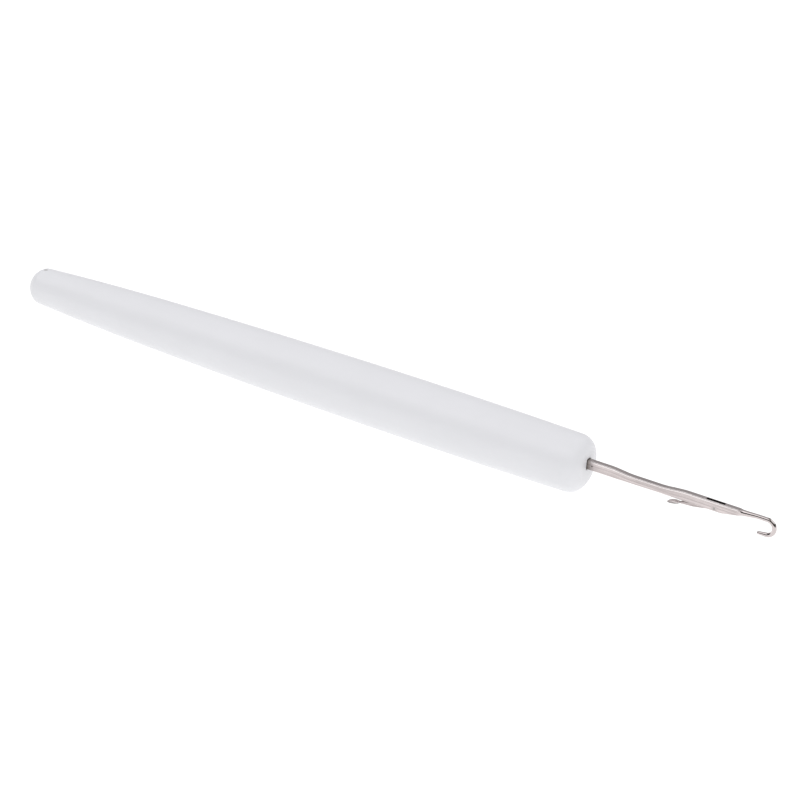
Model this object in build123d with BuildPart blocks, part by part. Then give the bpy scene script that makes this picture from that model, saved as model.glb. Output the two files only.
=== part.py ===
from build123d import *
from math import asin, atan, atan2, cos, hypot, radians, sin, sqrt
import os

# Hand latch hook tool, in millimetres.
# A round moulded handle holds a flat steel latch needle with an open hook and a swinging latch.
# Frame: origin at the middle of the small flat on the handle's butt, +X along the handle to the hook,
# +Z up on the needle's back edge, so that the hook opens towards -Z and the latch turns about Y.

# Handle
handle_length = 120.0
butt_flat_radius = 1.2
butt_dome_height = 2.2
butt_rim_radius = 3.5
butt_rim_rounding = 0.35
knee_place = 30.0
knee_radius = 4.78
barrel_place = 90.0
barrel_radius = 5.6
nose_radius = 5.35
nose_rounding = 2.8
gate_mark_radius = 0.55
gate_mark_depth = 0.16
gate_mark_setback = 0.55
gate_mark_angle = 60.0

# Needle blank, heights measured from the shank's middle line
needle_offset = 0.72
needle_thickness = 1.1
shank_height = 1.78
needle_edge_rounding = 0.14
waist_back = 0.54
waist_belly = 0.78
cheek_back = 0.94
cheek_belly = 0.82
waist_start = 4.3
waist_full = 9.0
waist_end = 14.0
cheek_start = 19.5
cheek_corner = 26.0
pit_place = 1.0
pit_radius = 0.17
pit_depth = 0.07

# Tang, hidden in the handle
tang_length = 30.0
tang_foot_length = 1.6
tang_foot_height = 1.7
tang_foot_setback = 2.0
tang_notch_radius = 0.45
tang_notch_pitch = 6.0
tang_notch_count = 3
moulding_gap = 0.02
mouth_margin = 0.16
mouth_depth = 0.35

# Drawn wire and hook
taper_start = 29.0
taper_belly = 0.24
wire_start = 32.6
wire_radius = 0.41
wire_height = 0.65
bend_place = 34.45
bend_radius = 1.45
tip_flare = 3.0
tip_length = 1.42
tip_radius = 0.29
shoulder_flat_depth = 0.1
shoulder_flat_angle = 55.0

# Slot, cut by a round saw from the belly until it breaks through the back
slot_side_gap = 0.06
saw_radius = 7.15
saw_breakthrough = 0.22

# Rivet
rivet_place = 24.7
rivet_drop = 0.27
rivet_radius = 0.24
rivet_seat_gap = 0.01
rivet_dish_radius = 0.16
rivet_dish_depth = 0.06

# Latch, lengths measured from the rivet along its arm
latch_thickness = 0.5
latch_stop_gap = 0.09
pivot_gap = 0.03
eye_radius = 0.56
arm_depth = 0.84
arm_full_end = 4.2
neck_end = 6.6
neck_inner = 0.16
neck_outer = 0.22
arm_run_in = 1.0
arm_edge_rounding = 0.08
cup_place = 7.84
cup_length = 2.7
cup_width = 1.5
cup_depth = 0.45
cup_rim_height = 0.1
cup_wall = 0.18

# One overrun serves every cut
overrun = 1.0

# Derived places
nose_x = handle_length
needle_z = needle_offset
half_thickness = needle_thickness / 2
shank_half = shank_height / 2
rivet_x = nose_x + rivet_place
rivet_z = needle_z - rivet_drop
wire_z = needle_z + wire_height
bend_x = nose_x + bend_place
saw_z = needle_z + cheek_back + saw_breakthrough - saw_radius
slot_width = latch_thickness + 2 * slot_side_gap
half_turn = 180.0


def needle_point(along, height):
    """A point of the needle's side outline, from the nose face and the shank's middle line."""
    return (nose_x + along, needle_z + height)


def tang_outline(grow):
    """Draws the tang's side outline in the sketch at hand, grown all round."""
    with Locations(needle_point(-tang_length / 2, 0)):
        Rectangle(tang_length + 2 * grow, shank_height + 2 * grow)
    foot_middle = tang_foot_setback + tang_foot_length / 2 - tang_length
    with Locations(needle_point(foot_middle, shank_half + tang_foot_height / 2)):
        Rectangle(tang_foot_length + 2 * grow, tang_foot_height + 2 * grow)
    with Locations(*[needle_point(-tang_notch_pitch * (n + 1), side * shank_half)
                     for n in range(tang_notch_count) for side in (-1, 1)]):
        Circle(tang_notch_radius - grow, mode=Mode.SUBTRACT)


# Handle: the dome's centre lies on the axis, so one circle passes through the flat's edge and the rim
dome_centre = (butt_dome_height**2 + butt_rim_radius**2 - butt_flat_radius**2) / (2 * butt_dome_height)
dome_radius = hypot(dome_centre, butt_flat_radius)
dome_middle = (atan2(butt_flat_radius, -dome_centre) + atan2(butt_rim_radius, butt_dome_height - dome_centre)) / 2

with BuildPart() as handle:
    with BuildSketch(Plane.XZ) as half_section:
        with BuildLine():
            flat = Line((0, 0), (0, butt_flat_radius))
            dome = ThreePointArc(
                flat @ 1,
                (dome_centre + dome_radius * cos(dome_middle), dome_radius * sin(dome_middle)),
                (butt_dome_height, butt_rim_radius),
            )
            # The side swells in arcs that meet smoothly at the knee and at the barrel's widest place
            barrel = TangentArc((barrel_place, barrel_radius), (knee_place, knee_radius), tangent=(-1, 0))
            TangentArc(barrel @ 1, dome @ 1, tangent=barrel % 1)
            front = TangentArc(barrel @ 0, (handle_length - nose_rounding, nose_radius), tangent=(1, 0))
            nose = TangentArc(front @ 1, (handle_length, nose_radius - nose_rounding), tangent=front % 1)
            Polyline(nose @ 1, (handle_length, 0), (0, 0))
        make_face()
        fillet(half_section.vertices().sort_by_distance((butt_dome_height, butt_rim_radius))[0], butt_rim_rounding)
    revolve(axis=Axis.X)
    # Socket for the tang, with a flared mouth in the nose face
    with BuildSketch(Plane.XZ):
        tang_outline(moulding_gap)
    extrude(amount=half_thickness + moulding_gap, both=True, mode=Mode.SUBTRACT)
    with BuildSketch(Plane.YZ.offset(nose_x)):
        with Locations((0, needle_z)):
            Rectangle(needle_thickness + 2 * mouth_margin, shank_height + 2 * mouth_margin)
    with BuildSketch(Plane.YZ.offset(nose_x - mouth_depth)):
        with Locations((0, needle_z)):
            Rectangle(needle_thickness + 2 * moulding_gap, shank_height + 2 * moulding_gap)
    loft(mode=Mode.SUBTRACT)
    # Shallow gate mark on the dome, set back from the rim
    gate_turn = radians(gate_mark_angle)
    gate_lean = atan2(butt_rim_radius, dome_centre - butt_dome_height) - gate_mark_setback / dome_radius
    gate_reach = dome_radius + gate_mark_radius - gate_mark_depth
    gate_rise = gate_reach * sin(gate_lean)
    gate_place = (dome_centre - gate_reach * cos(gate_lean), gate_rise * cos(gate_turn), gate_rise * sin(gate_turn))
    with Locations(gate_place):
        Sphere(gate_mark_radius, mode=Mode.SUBTRACT)

# Needle: stamped blank, then the drawn wire, the hook, the slot and the rivet hole
wire_plane = Plane(origin=(nose_x + wire_start, 0, wire_z), z_dir=(1, 0, 0))
bend_sweep = half_turn - tip_flare

with BuildPart() as needle:
    with BuildSketch(Plane.XZ):
        with BuildLine():
            back_shank = Line(needle_point(0, shank_half), needle_point(waist_start, shank_half))
            back_dip = Spline(back_shank @ 1, needle_point(waist_full, waist_back), tangents=((1, 0), (1, 0)))
            back_waist = Line(back_dip @ 1, needle_point(waist_end, waist_back))
            back_rise = Spline(back_waist @ 1, needle_point(cheek_start, cheek_back), tangents=((1, 0), (1, 0)))
            back_cheek = Line(back_rise @ 1, needle_point(taper_start, cheek_back))
            blank_end = Line(back_cheek @ 1, needle_point(taper_start, -taper_belly))
            belly_taper = Line(blank_end @ 1, needle_point(cheek_corner, -cheek_belly))
            belly_cheek = Line(belly_taper @ 1, needle_point(cheek_start, -cheek_belly))
            belly_waist = Line(belly_cheek @ 1, needle_point(waist_end, -waist_belly))
            belly_shank = Line(belly_waist @ 1, needle_point(waist_start, -shank_half))
            Polyline(belly_shank @ 1, needle_point(0, -shank_half), back_shank @ 0)
        make_face()
        tang_outline(0)
    extrude(amount=half_thickness, both=True)
    flanks = needle.faces().filter_by(Axis.Y)
    long_edges = flanks.edges().filter_by_position(Axis.X, nose_x, nose_x + taper_start, inclusive=(False, False))
    fillet(long_edges, needle_edge_rounding)
    # The blank is drawn down to round wire
    blank_face = needle.faces().sort_by(Axis.X)[-1]
    with BuildSketch(wire_plane, mode=Mode.PRIVATE) as wire_section:
        Circle(wire_radius)
    loft(sections=[blank_face, wire_section.sketch])
    # Hook: wire, bend and flared tip
    with BuildLine(Plane.XZ) as hook_path:
        run = Line((nose_x + wire_start, wire_z), (bend_x, wire_z))
        bend = JernArc(start=run @ 1, tangent=run % 1, radius=bend_radius, arc_size=-bend_sweep)
    with BuildSketch(wire_plane):
        Circle(wire_radius)
    sweep(path=hook_path.line)
    tip_plane = Plane(origin=bend @ 1, z_dir=bend % 1)
    with BuildSketch(tip_plane):
        Circle(wire_radius)
    with BuildSketch(tip_plane.offset(tip_length)):
        Circle(tip_radius)
    loft()
    with Locations(tip_plane.offset(tip_length).origin):
        Sphere(tip_radius)
    # Small flat pressed on the outer shoulder of the bend
    shoulder_turn = radians(shoulder_flat_angle)
    shoulder = Vector(cos(shoulder_turn), 0, sin(shoulder_turn))
    bend_middle = Vector(bend_x, 0, wire_z - bend_radius)
    shoulder_reach = bend_radius + wire_radius - shoulder_flat_depth
    with BuildSketch(Plane(origin=bend_middle + shoulder * shoulder_reach, z_dir=shoulder)):
        Rectangle(2 * bend_radius, needle_thickness)
    extrude(amount=overrun, mode=Mode.SUBTRACT)
    # Saw-cut slot
    with BuildSketch(Plane.XZ):
        with Locations((rivet_x, saw_z)):
            Circle(saw_radius)
    extrude(amount=slot_width / 2, both=True, mode=Mode.SUBTRACT)
    # Rivet hole through both cheeks
    with BuildSketch(Plane.XZ):
        with Locations((rivet_x, rivet_z)):
            Circle(rivet_radius + rivet_seat_gap)
    extrude(amount=half_thickness + overrun, both=True, mode=Mode.SUBTRACT)
    # Locating pit struck in the near flank beside the root
    with Locations((nose_x + pit_place, -half_thickness - pit_radius + pit_depth, needle_z)):
        Sphere(pit_radius, mode=Mode.SUBTRACT)

# Open, the latch's outer edge stops at the corner where the slot ends in the belly
corner_drop = cheek_belly - rivet_drop
corner_back = sqrt(saw_radius**2 - (rivet_z - corner_drop - saw_z) ** 2)
edge_slope = atan((arm_depth / 2 - neck_outer) / neck_end)
stop_turn = asin((arm_depth / 2 + latch_stop_gap) * cos(edge_slope) / hypot(corner_back, corner_drop)) - edge_slope
rest_turn = atan2(corner_drop, corner_back) + stop_turn

# Latch, drawn in its own plane: x along the arm, y towards the side that meets the hook
latch_plane = Plane(origin=(rivet_x, 0, rivet_z), x_dir=(-cos(rest_turn), 0, -sin(rest_turn)), z_dir=(0, -1, 0))
# The cup is the cap of a spheroid that is round across the arm
cap_radius = ((cup_width / 2) ** 2 + cup_depth**2) / (2 * cup_depth)
cap_drop = cap_radius - cup_depth
cap_reach = cup_length / 2 * cap_radius / (cup_width / 2)
cup_middle = (cup_place, cup_rim_height + cap_drop)
cup_axis = Axis(latch_plane.from_local_coords((cup_middle[0], cup_middle[1], 0)), latch_plane.x_dir)


def half_ellipse(reach, radius):
    """Draws the half of the cup's ellipse that lies below its long axis in the sketch at hand."""
    with Locations(cup_middle):
        Ellipse(reach, radius)
        Rectangle(2 * reach, radius, align=(Align.CENTER, Align.MIN), mode=Mode.SUBTRACT)


with BuildPart() as latch_arm:
    # Arm with its pivot eye, its edges eased all round
    with BuildSketch(latch_plane):
        Circle(eye_radius)
        with BuildLine():
            Polyline(
                (0, arm_depth / 2),
                (arm_full_end, arm_depth / 2),
                (neck_end, neck_inner),
                (neck_end + arm_run_in, neck_inner),
                (neck_end + arm_run_in, -neck_outer),
                (neck_end, -neck_outer),
                (0, -arm_depth / 2),
                close=True,
            )
        make_face()
    extrude(amount=latch_thickness / 2, both=True)
    fillet(latch_arm.faces().filter_by(Axis.Y).edges(), arm_edge_rounding)

with BuildPart() as latch:
    # Cup's outer cap, cut off at its rim
    with BuildSketch(latch_plane):
        half_ellipse(cap_reach, cap_radius)
    revolve(axis=cup_axis)
    rim_origin = latch_plane.from_local_coords((cup_place, cup_rim_height, 0))
    split(bisect_by=Plane(origin=rim_origin, z_dir=latch_plane.y_dir), keep=Keep.BOTTOM)
    add(latch_arm.part)
    # Hollow of the cup
    with BuildSketch(latch_plane):
        half_ellipse(cap_reach - cup_wall, cap_radius - cup_wall)
    revolve(axis=cup_axis, mode=Mode.SUBTRACT)
    # Pivot hole
    with BuildSketch(latch_plane):
        Circle(rivet_radius + pivot_gap)
    extrude(amount=latch_thickness, both=True, mode=Mode.SUBTRACT)

# Rivet, flush with both flanks and dished where it was punched
with BuildPart() as latch_rivet:
    with BuildSketch(Plane.XZ):
        with Locations((rivet_x, rivet_z)):
            Circle(rivet_radius)
    extrude(amount=half_thickness, both=True)
    dish_ball = (rivet_dish_radius**2 + rivet_dish_depth**2) / (2 * rivet_dish_depth)
    with Locations(*[(rivet_x, side * (half_thickness + dish_ball - rivet_dish_depth), rivet_z) for side in (-1, 1)]):
        Sphere(dish_ball, mode=Mode.SUBTRACT)

os.makedirs("parts", exist_ok=True)
handle.part.label = "handle"
export_step(handle.part, "parts/handle.step")
needle.part.label = "needle"
export_step(needle.part, "parts/needle.step")
latch.part.label = "latch"
export_step(latch.part, "parts/latch.step")
latch_rivet.part.label = "latch_rivet"
export_step(latch_rivet.part, "parts/latch_rivet.step")
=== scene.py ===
"""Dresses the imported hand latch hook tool: moulded handle, flat steel needle, swinging latch and rivet.

Sizes are millimetres in the CAD's own frame: the origin is the middle of the butt's flat, +X runs along the
handle to the hook, and +Z is up on the needle's back edge. A mesh is written in metres when it is finished.
"""
import logging
from dataclasses import dataclass, field
from enum import Enum
from functools import cached_property
from math import asin, atan, atan2, cos, hypot, inf, pi, radians, sin, sqrt, tan

import bmesh
import bpy
import numpy as np
from mathutils import Matrix, Vector


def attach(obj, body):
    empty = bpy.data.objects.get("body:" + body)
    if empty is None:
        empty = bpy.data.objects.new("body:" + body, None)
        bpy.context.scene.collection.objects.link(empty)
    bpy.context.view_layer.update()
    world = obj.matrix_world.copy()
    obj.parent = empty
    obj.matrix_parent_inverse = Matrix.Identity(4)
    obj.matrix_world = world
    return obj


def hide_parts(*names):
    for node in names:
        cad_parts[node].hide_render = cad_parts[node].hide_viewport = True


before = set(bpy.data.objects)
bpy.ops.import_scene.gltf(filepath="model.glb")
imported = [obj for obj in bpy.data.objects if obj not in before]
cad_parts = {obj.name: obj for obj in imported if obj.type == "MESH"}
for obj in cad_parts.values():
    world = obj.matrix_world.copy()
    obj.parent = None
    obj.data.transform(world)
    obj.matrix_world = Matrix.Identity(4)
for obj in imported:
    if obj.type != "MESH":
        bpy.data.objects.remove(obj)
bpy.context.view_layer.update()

Array = np.ndarray
Colour = tuple[float, float, float, float]
Feed = bpy.types.NodeSocket | float | tuple[float, ...]
Feeds = dict[str | int, Feed]

MILLIMETRE = 0.001
WELD_DISTANCE = 2e-7
FLAT_TOLERANCE = 1e-6
FULL_TURN = 2.0 * pi
QUARTER_TURN = pi / 2.0
NOWHERE = (0.0, 0.0, 0.0)
TO_MIDDLE_PLANE = np.array([1.0, 0.0, 1.0])
HOLE_SHARES = np.array([0.0, 0.4, 0.75, 0.93, 1.0])

log = logging.getLogger("latch_hook_tool")


class Body(str, Enum):
    """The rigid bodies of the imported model."""

    TOOL = "tool"
    LATCH = "latch"


class Mark(str, Enum):
    """The masks that a mesh carries for its finish."""

    # Wear on exposed edges; on the steel it also places painted highlights.
    EDGE = "edge"
    # Painted shade, including painted dark reflection lines on the needle.
    STAIN = "stain"
    LAY = "lay"
    POLISH = "polish"
    CUT = "cut"


def as_points(*coordinates: Array | float) -> Array:
    """Spreads coordinates over one shape and joins them as points."""
    return np.stack(np.broadcast_arrays(*coordinates), axis=-1)


def smooth_step(value: Array, low: float, high: float) -> Array:
    """Rises from 0 at low to 1 at high as three squares less two cubes of the share between them.

    Args:
        value: where to read the rise.
        low: the place where it leaves 0.
        high: the place where it reaches 1.

    Returns:
        The rise at each value.
    """
    share = np.clip((value - low) / (high - low), 0.0, 1.0)
    return share * share * (3.0 - 2.0 * share)


def tangent_arc(start: Array, tangent: Array, end: Array, count: int) -> tuple[Array, Array]:
    """Draws the circle's arc that leaves start along tangent and runs through end.

    The radius is the chord's square over twice its part across the tangent, and the arc turns by twice the
    chord's angle from the tangent.

    Args:
        start: first point of the arc.
        tangent: direction in which the arc leaves it.
        end: last point of the arc.
        count: how many points to put on it.

    Returns:
        The points, and the direction in which the arc arrives.
    """
    tangent = tangent / np.linalg.norm(tangent)
    normal = np.array([-tangent[1], tangent[0]])
    chord = end - start
    across = chord @ normal
    radius = chord @ chord / (2.0 * across)
    sweep = 2.0 * np.arctan2(across, chord @ tangent)
    turn = np.linspace(0.0, sweep, count)[:, None]
    points = start + radius * (np.sin(turn) * tangent + (1.0 - np.cos(turn)) * normal)
    return points, cos(sweep) * tangent + sin(sweep) * normal


def around_window(lattice: Array) -> Array:
    """Lists the outline of a lattice of points, once round from its first corner.

    Args:
        lattice: points in columns and rows.

    Returns:
        The outline's points in order, without the first repeated.
    """
    return np.concatenate([lattice[:-1, 0], lattice[-1, :-1], lattice[:0:-1, -1], lattice[0, :0:-1]])


def turns_about(window: Array, middle: Array) -> Array:
    """Angles of the points on a window's outline, as seen from a middle along and up."""
    outline = around_window(window)
    return np.arctan2(outline[:, 2] - middle[1], outline[:, 0] - middle[0])


def ring_to_hole(window: Array, middle: Array, radius: float, turn: Array, shares: Array) -> Array:
    """Fills a window in a flat wall as rings that go from its outline to a round hole.

    Args:
        window: the lattice of points that the window leaves out.
        middle: the hole's middle, along and up.
        radius: the hole's radius.
        turn: angle of each of the outline's points on the hole.
        shares: how far each ring has gone to the hole.

    Returns:
        Points, ring by place round the hole, the first repeated at the end.
    """
    outline, share = around_window(window), shares[:, None, None]
    hole = as_points(middle[0] + radius * np.cos(turn), outline[:, 1], middle[1] + radius * np.sin(turn))
    rings = outline * (1.0 - share) + hole * share
    return np.concatenate([rings, rings[:, :1]], axis=1)


def runs(*spans: tuple[float, float, int]) -> Array:
    """Lists the even places of runs, each from its first place to its last by a count."""
    return np.concatenate([np.linspace(*span) for span in spans])


def patch(first: int, row: int, cells: tuple[int, int], more: int = 0) -> tuple[slice, slice]:
    """Cuts a patch of cells out of a grid, or with one more each way the points at their corners."""
    return slice(first, first + cells[0] + more), slice(row, row + cells[1] + more)


def nearest(along: Array, place: float) -> int:
    """Finds the station closest to a place."""
    return int(np.argmin(np.abs(along - place)))


def lay_of(grid: Array) -> Array:
    """Measures a grid along the piece and around it, as the summed steps between its points."""
    along = np.linalg.norm(np.diff(grid.mean(axis=1), axis=0), axis=1)
    around = np.linalg.norm(np.diff(grid, axis=1), axis=2)
    first = np.concatenate([[0.0], np.cumsum(along)])[:, None]
    second = np.concatenate([np.zeros((len(grid), 1)), np.cumsum(around, axis=1)], axis=1)
    return as_points(first, second, 0.0)


@dataclass
class Shell:
    """One closed surface, gathered from grids of points and welded where the grids meet."""

    name: str
    points: list[Array] = field(default_factory=list)
    faces: list[Array] = field(default_factory=list)
    marks: dict[Mark, list[Array]] = field(default_factory=lambda: {mark: [] for mark in Mark})
    total: int = 0

    def add(self, grid: Array, keep: Array | None = None, cut: float = 0.0, edge: Array | float = 0.0,
            stain: Array | float = 0.0, polish: Array | float = 0.0, lay: Array | None = None,
            wrap: bool = False) -> None:
        """Adds a grid of points as the four-sided faces between neighbours.

        Args:
            grid: points in rows and columns.
            keep: which cells become faces, all of them if it is left out.
            cut: how much of a fresh cut the faces are.
            edge: wear at each point, which on the steel also paints highlights, in the grid's shape or one
                that spreads to it.
            stain: how much painted shade each point has.
            polish: how polished each point is.
            lay: distance along and around the piece at each point, or the points' own places.
            wrap: whether the last column joins the first.
        """
        rows, columns = grid.shape[:2]
        index = np.arange(rows * columns).reshape(rows, columns) + self.total
        if wrap:
            index = np.concatenate([index, index[:, :1]], axis=1)
        cells = np.stack([index[:-1, :-1], index[1:, :-1], index[1:, 1:], index[:-1, 1:]], axis=-1)
        cells = cells.reshape(-1, 4) if keep is None else cells[keep]
        flat = grid.reshape(-1, 3)
        self.points.append(flat)
        self.faces.append(cells)
        self.marks[Mark.CUT].append(np.full(len(cells), cut))
        self.marks[Mark.LAY].append(flat if lay is None else lay.reshape(-1, 3))
        for mark, values in ((Mark.EDGE, edge), (Mark.STAIN, stain), (Mark.POLISH, polish)):
            self.marks[mark].append(np.broadcast_to(values, (rows, columns)).ravel())
        self.total += rows * columns

    def weld(self, crease: float) -> bpy.types.Object:
        """Merges the grids into one closed mesh in metres, with its faces outwards and its masks kept.

        Args:
            crease: angle in degrees from which an edge is shaded hard.

        Returns:
            The new object, linked to the scene.
        """
        mesh = bpy.data.meshes.new(self.name)
        mesh.from_pydata(np.concatenate(self.points) * MILLIMETRE, [], np.concatenate(self.faces))
        for mark, values in self.marks.items():
            kind, key = ("FLOAT_VECTOR", "vector") if mark is Mark.LAY else ("FLOAT", "value")
            layer = mesh.attributes.new(mark.value, kind, "FACE" if mark is Mark.CUT else "POINT")
            layer.data.foreach_set(key, np.concatenate(values).astype(np.float32).ravel())
        welded = bmesh.new()
        welded.from_mesh(mesh)
        bmesh.ops.remove_doubles(welded, verts=welded.verts, dist=WELD_DISTANCE)
        bmesh.ops.recalc_face_normals(welded, faces=welded.faces)
        welded.to_mesh(mesh)
        welded.free()
        mesh.shade_smooth()
        mesh.set_sharp_from_angle(angle=radians(crease))
        uses = np.zeros(len(mesh.loops), np.int32)
        mesh.loops.foreach_get("edge_index", uses)
        unclosed = int((np.bincount(uses, minlength=len(mesh.edges)) != 2).sum())
        log.info("%s: %d faces, %d edges not closed", self.name, len(mesh.polygons), unclosed)
        piece = bpy.data.objects.new(self.name, mesh)
        bpy.context.scene.collection.objects.link(piece)
        return piece


def level_normals(piece: bpy.types.Object) -> None:
    """Shades the flats flat beside their rounded edges, by weighting normals with the faces' areas."""
    modifier = piece.modifiers.new("level normals", "WEIGHTED_NORMAL")
    modifier.keep_sharp = True


def stand_for(piece: bpy.types.Object, material: bpy.types.Material, node: str, body: Body) -> None:
    """Gives a dressed piece its finish and puts it in a CAD node's place.

    Args:
        piece: the new piece.
        material: its finish.
        node: the CAD node that it stands for.
        body: the body that carries it.
    """
    piece.data.materials.append(material)
    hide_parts(node)
    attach(piece, body.value)
    log.info("%s stands for %s and rides on %s", piece.name, node, body.value)


@dataclass
class Bench:
    """Adds and joins the nodes of one tree."""

    tree: bpy.types.NodeTree

    def add(self, kind: str, feeds: Feeds | None = None, **settings: object) -> bpy.types.Node:
        """Adds a node, sets it up and feeds its inputs.

        Args:
            kind: Blender's name of the node.
            feeds: what each named or numbered input takes, a value or another node's output.
            settings: the node's own properties.

        Returns:
            The new node.
        """
        node = self.tree.nodes.new(kind)
        for name, value in settings.items():
            setattr(node, name, value)
        for name, value in (feeds or {}).items():
            if isinstance(value, bpy.types.NodeSocket):
                self.tree.links.new(value, node.inputs[name])
            else:
                node.inputs[name].default_value = value
        return node

    def sum(self, operation: str, *values: Feed) -> bpy.types.NodeSocket:
        """Works out one number, such as MULTIPLY or ADD, from values or outputs."""
        return self.add("ShaderNodeMath", dict(enumerate(values)), operation=operation).outputs[0]

    def pile(self, start: Feed, *layers: tuple[Feed, float]) -> Feed:
        """Adds to a number each mask times its amount."""
        for mask, amount in layers:
            start = self.sum("MULTIPLY_ADD", mask, amount, start)
        return start

    def rise(self, value: Feed, low: Feed, high: Feed, first: Feed = 0.0, last: Feed = 1.0,
             kind: str = "SMOOTHSTEP") -> bpy.types.NodeSocket:
        """Goes from the first number at low to the last at high, smoothly unless another kind is named."""
        feeds = {0: value, 1: low, 2: high, 3: first, 4: last}
        return self.add("ShaderNodeMapRange", feeds, interpolation_type=kind).outputs[0]

    def blend(self, factor: Feed, first: Feed, second: Feed) -> bpy.types.NodeSocket:
        """Goes from the first number to the second by a factor."""
        return self.sum("MULTIPLY_ADD", factor, self.sum("SUBTRACT", second, first), first)

    def mix(self, factor: Feed, first: Feed, second: Feed) -> bpy.types.NodeSocket:
        """Mixes two colours by a factor."""
        return self.add("ShaderNodeMix", {0: factor, 6: first, 7: second}, data_type="RGBA").outputs[2]

    def vector(self, operation: str, feeds: Feeds, output: str = "Vector") -> bpy.types.NodeSocket:
        """Works out a vector, or a number from vectors."""
        return self.add("ShaderNodeVectorMath", feeds, operation=operation).outputs[output]

    def noise(self, place: Feed, rate: Feed, detail: Feed = 2.0) -> bpy.types.NodeSocket:
        """Reads a cloudy noise at a place, with so many patches to the millimetre."""
        feeds = {"Vector": place, "Scale": rate, "Detail": detail}
        return self.add("ShaderNodeTexNoise", feeds).outputs["Fac"]

    def group(self, tree: bpy.types.NodeTree, **feeds: Feed) -> bpy.types.NodeSocket:
        """Places a shared effect, feeds its sockets by their names in small letters, gives its one output."""
        named = {name.replace("_", " ").capitalize(): value for name, value in feeds.items()}
        return self.add("ShaderNodeGroup", named, node_tree=tree).outputs[0]

    def mark(self, mark: Mark, output: str = "Fac") -> bpy.types.NodeSocket:
        """Reads one of the mesh's masks."""
        return self.add("ShaderNodeAttribute", attribute_name=mark.value).outputs[output]

    def place(self) -> bpy.types.NodeSocket:
        """Gives the object's own coordinates in millimetres."""
        own = self.add("ShaderNodeTexCoord").outputs["Object"]
        return self.vector("SCALE", {0: own, "Scale": 1.0 / MILLIMETRE})

    def bump(self, heights: Feed) -> bpy.types.NodeSocket:
        """Turns heights in metres into normals."""
        return self.add("ShaderNodeBump", {"Strength": 1.0, "Distance": 1.0, "Height": heights}).outputs[0]

    def end(self, shader: bpy.types.Node, kind: str = "ShaderNodeOutputMaterial") -> None:
        """Leads a shader to the tree's output."""
        self.add(kind, {"Surface": shader.outputs[0]})


def open_tree(owner: bpy.types.Material | bpy.types.World) -> Bench:
    """Empties the tree of a new material or world."""
    owner.use_nodes = True
    owner.node_tree.nodes.clear()
    return Bench(owner.node_tree)


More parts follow.
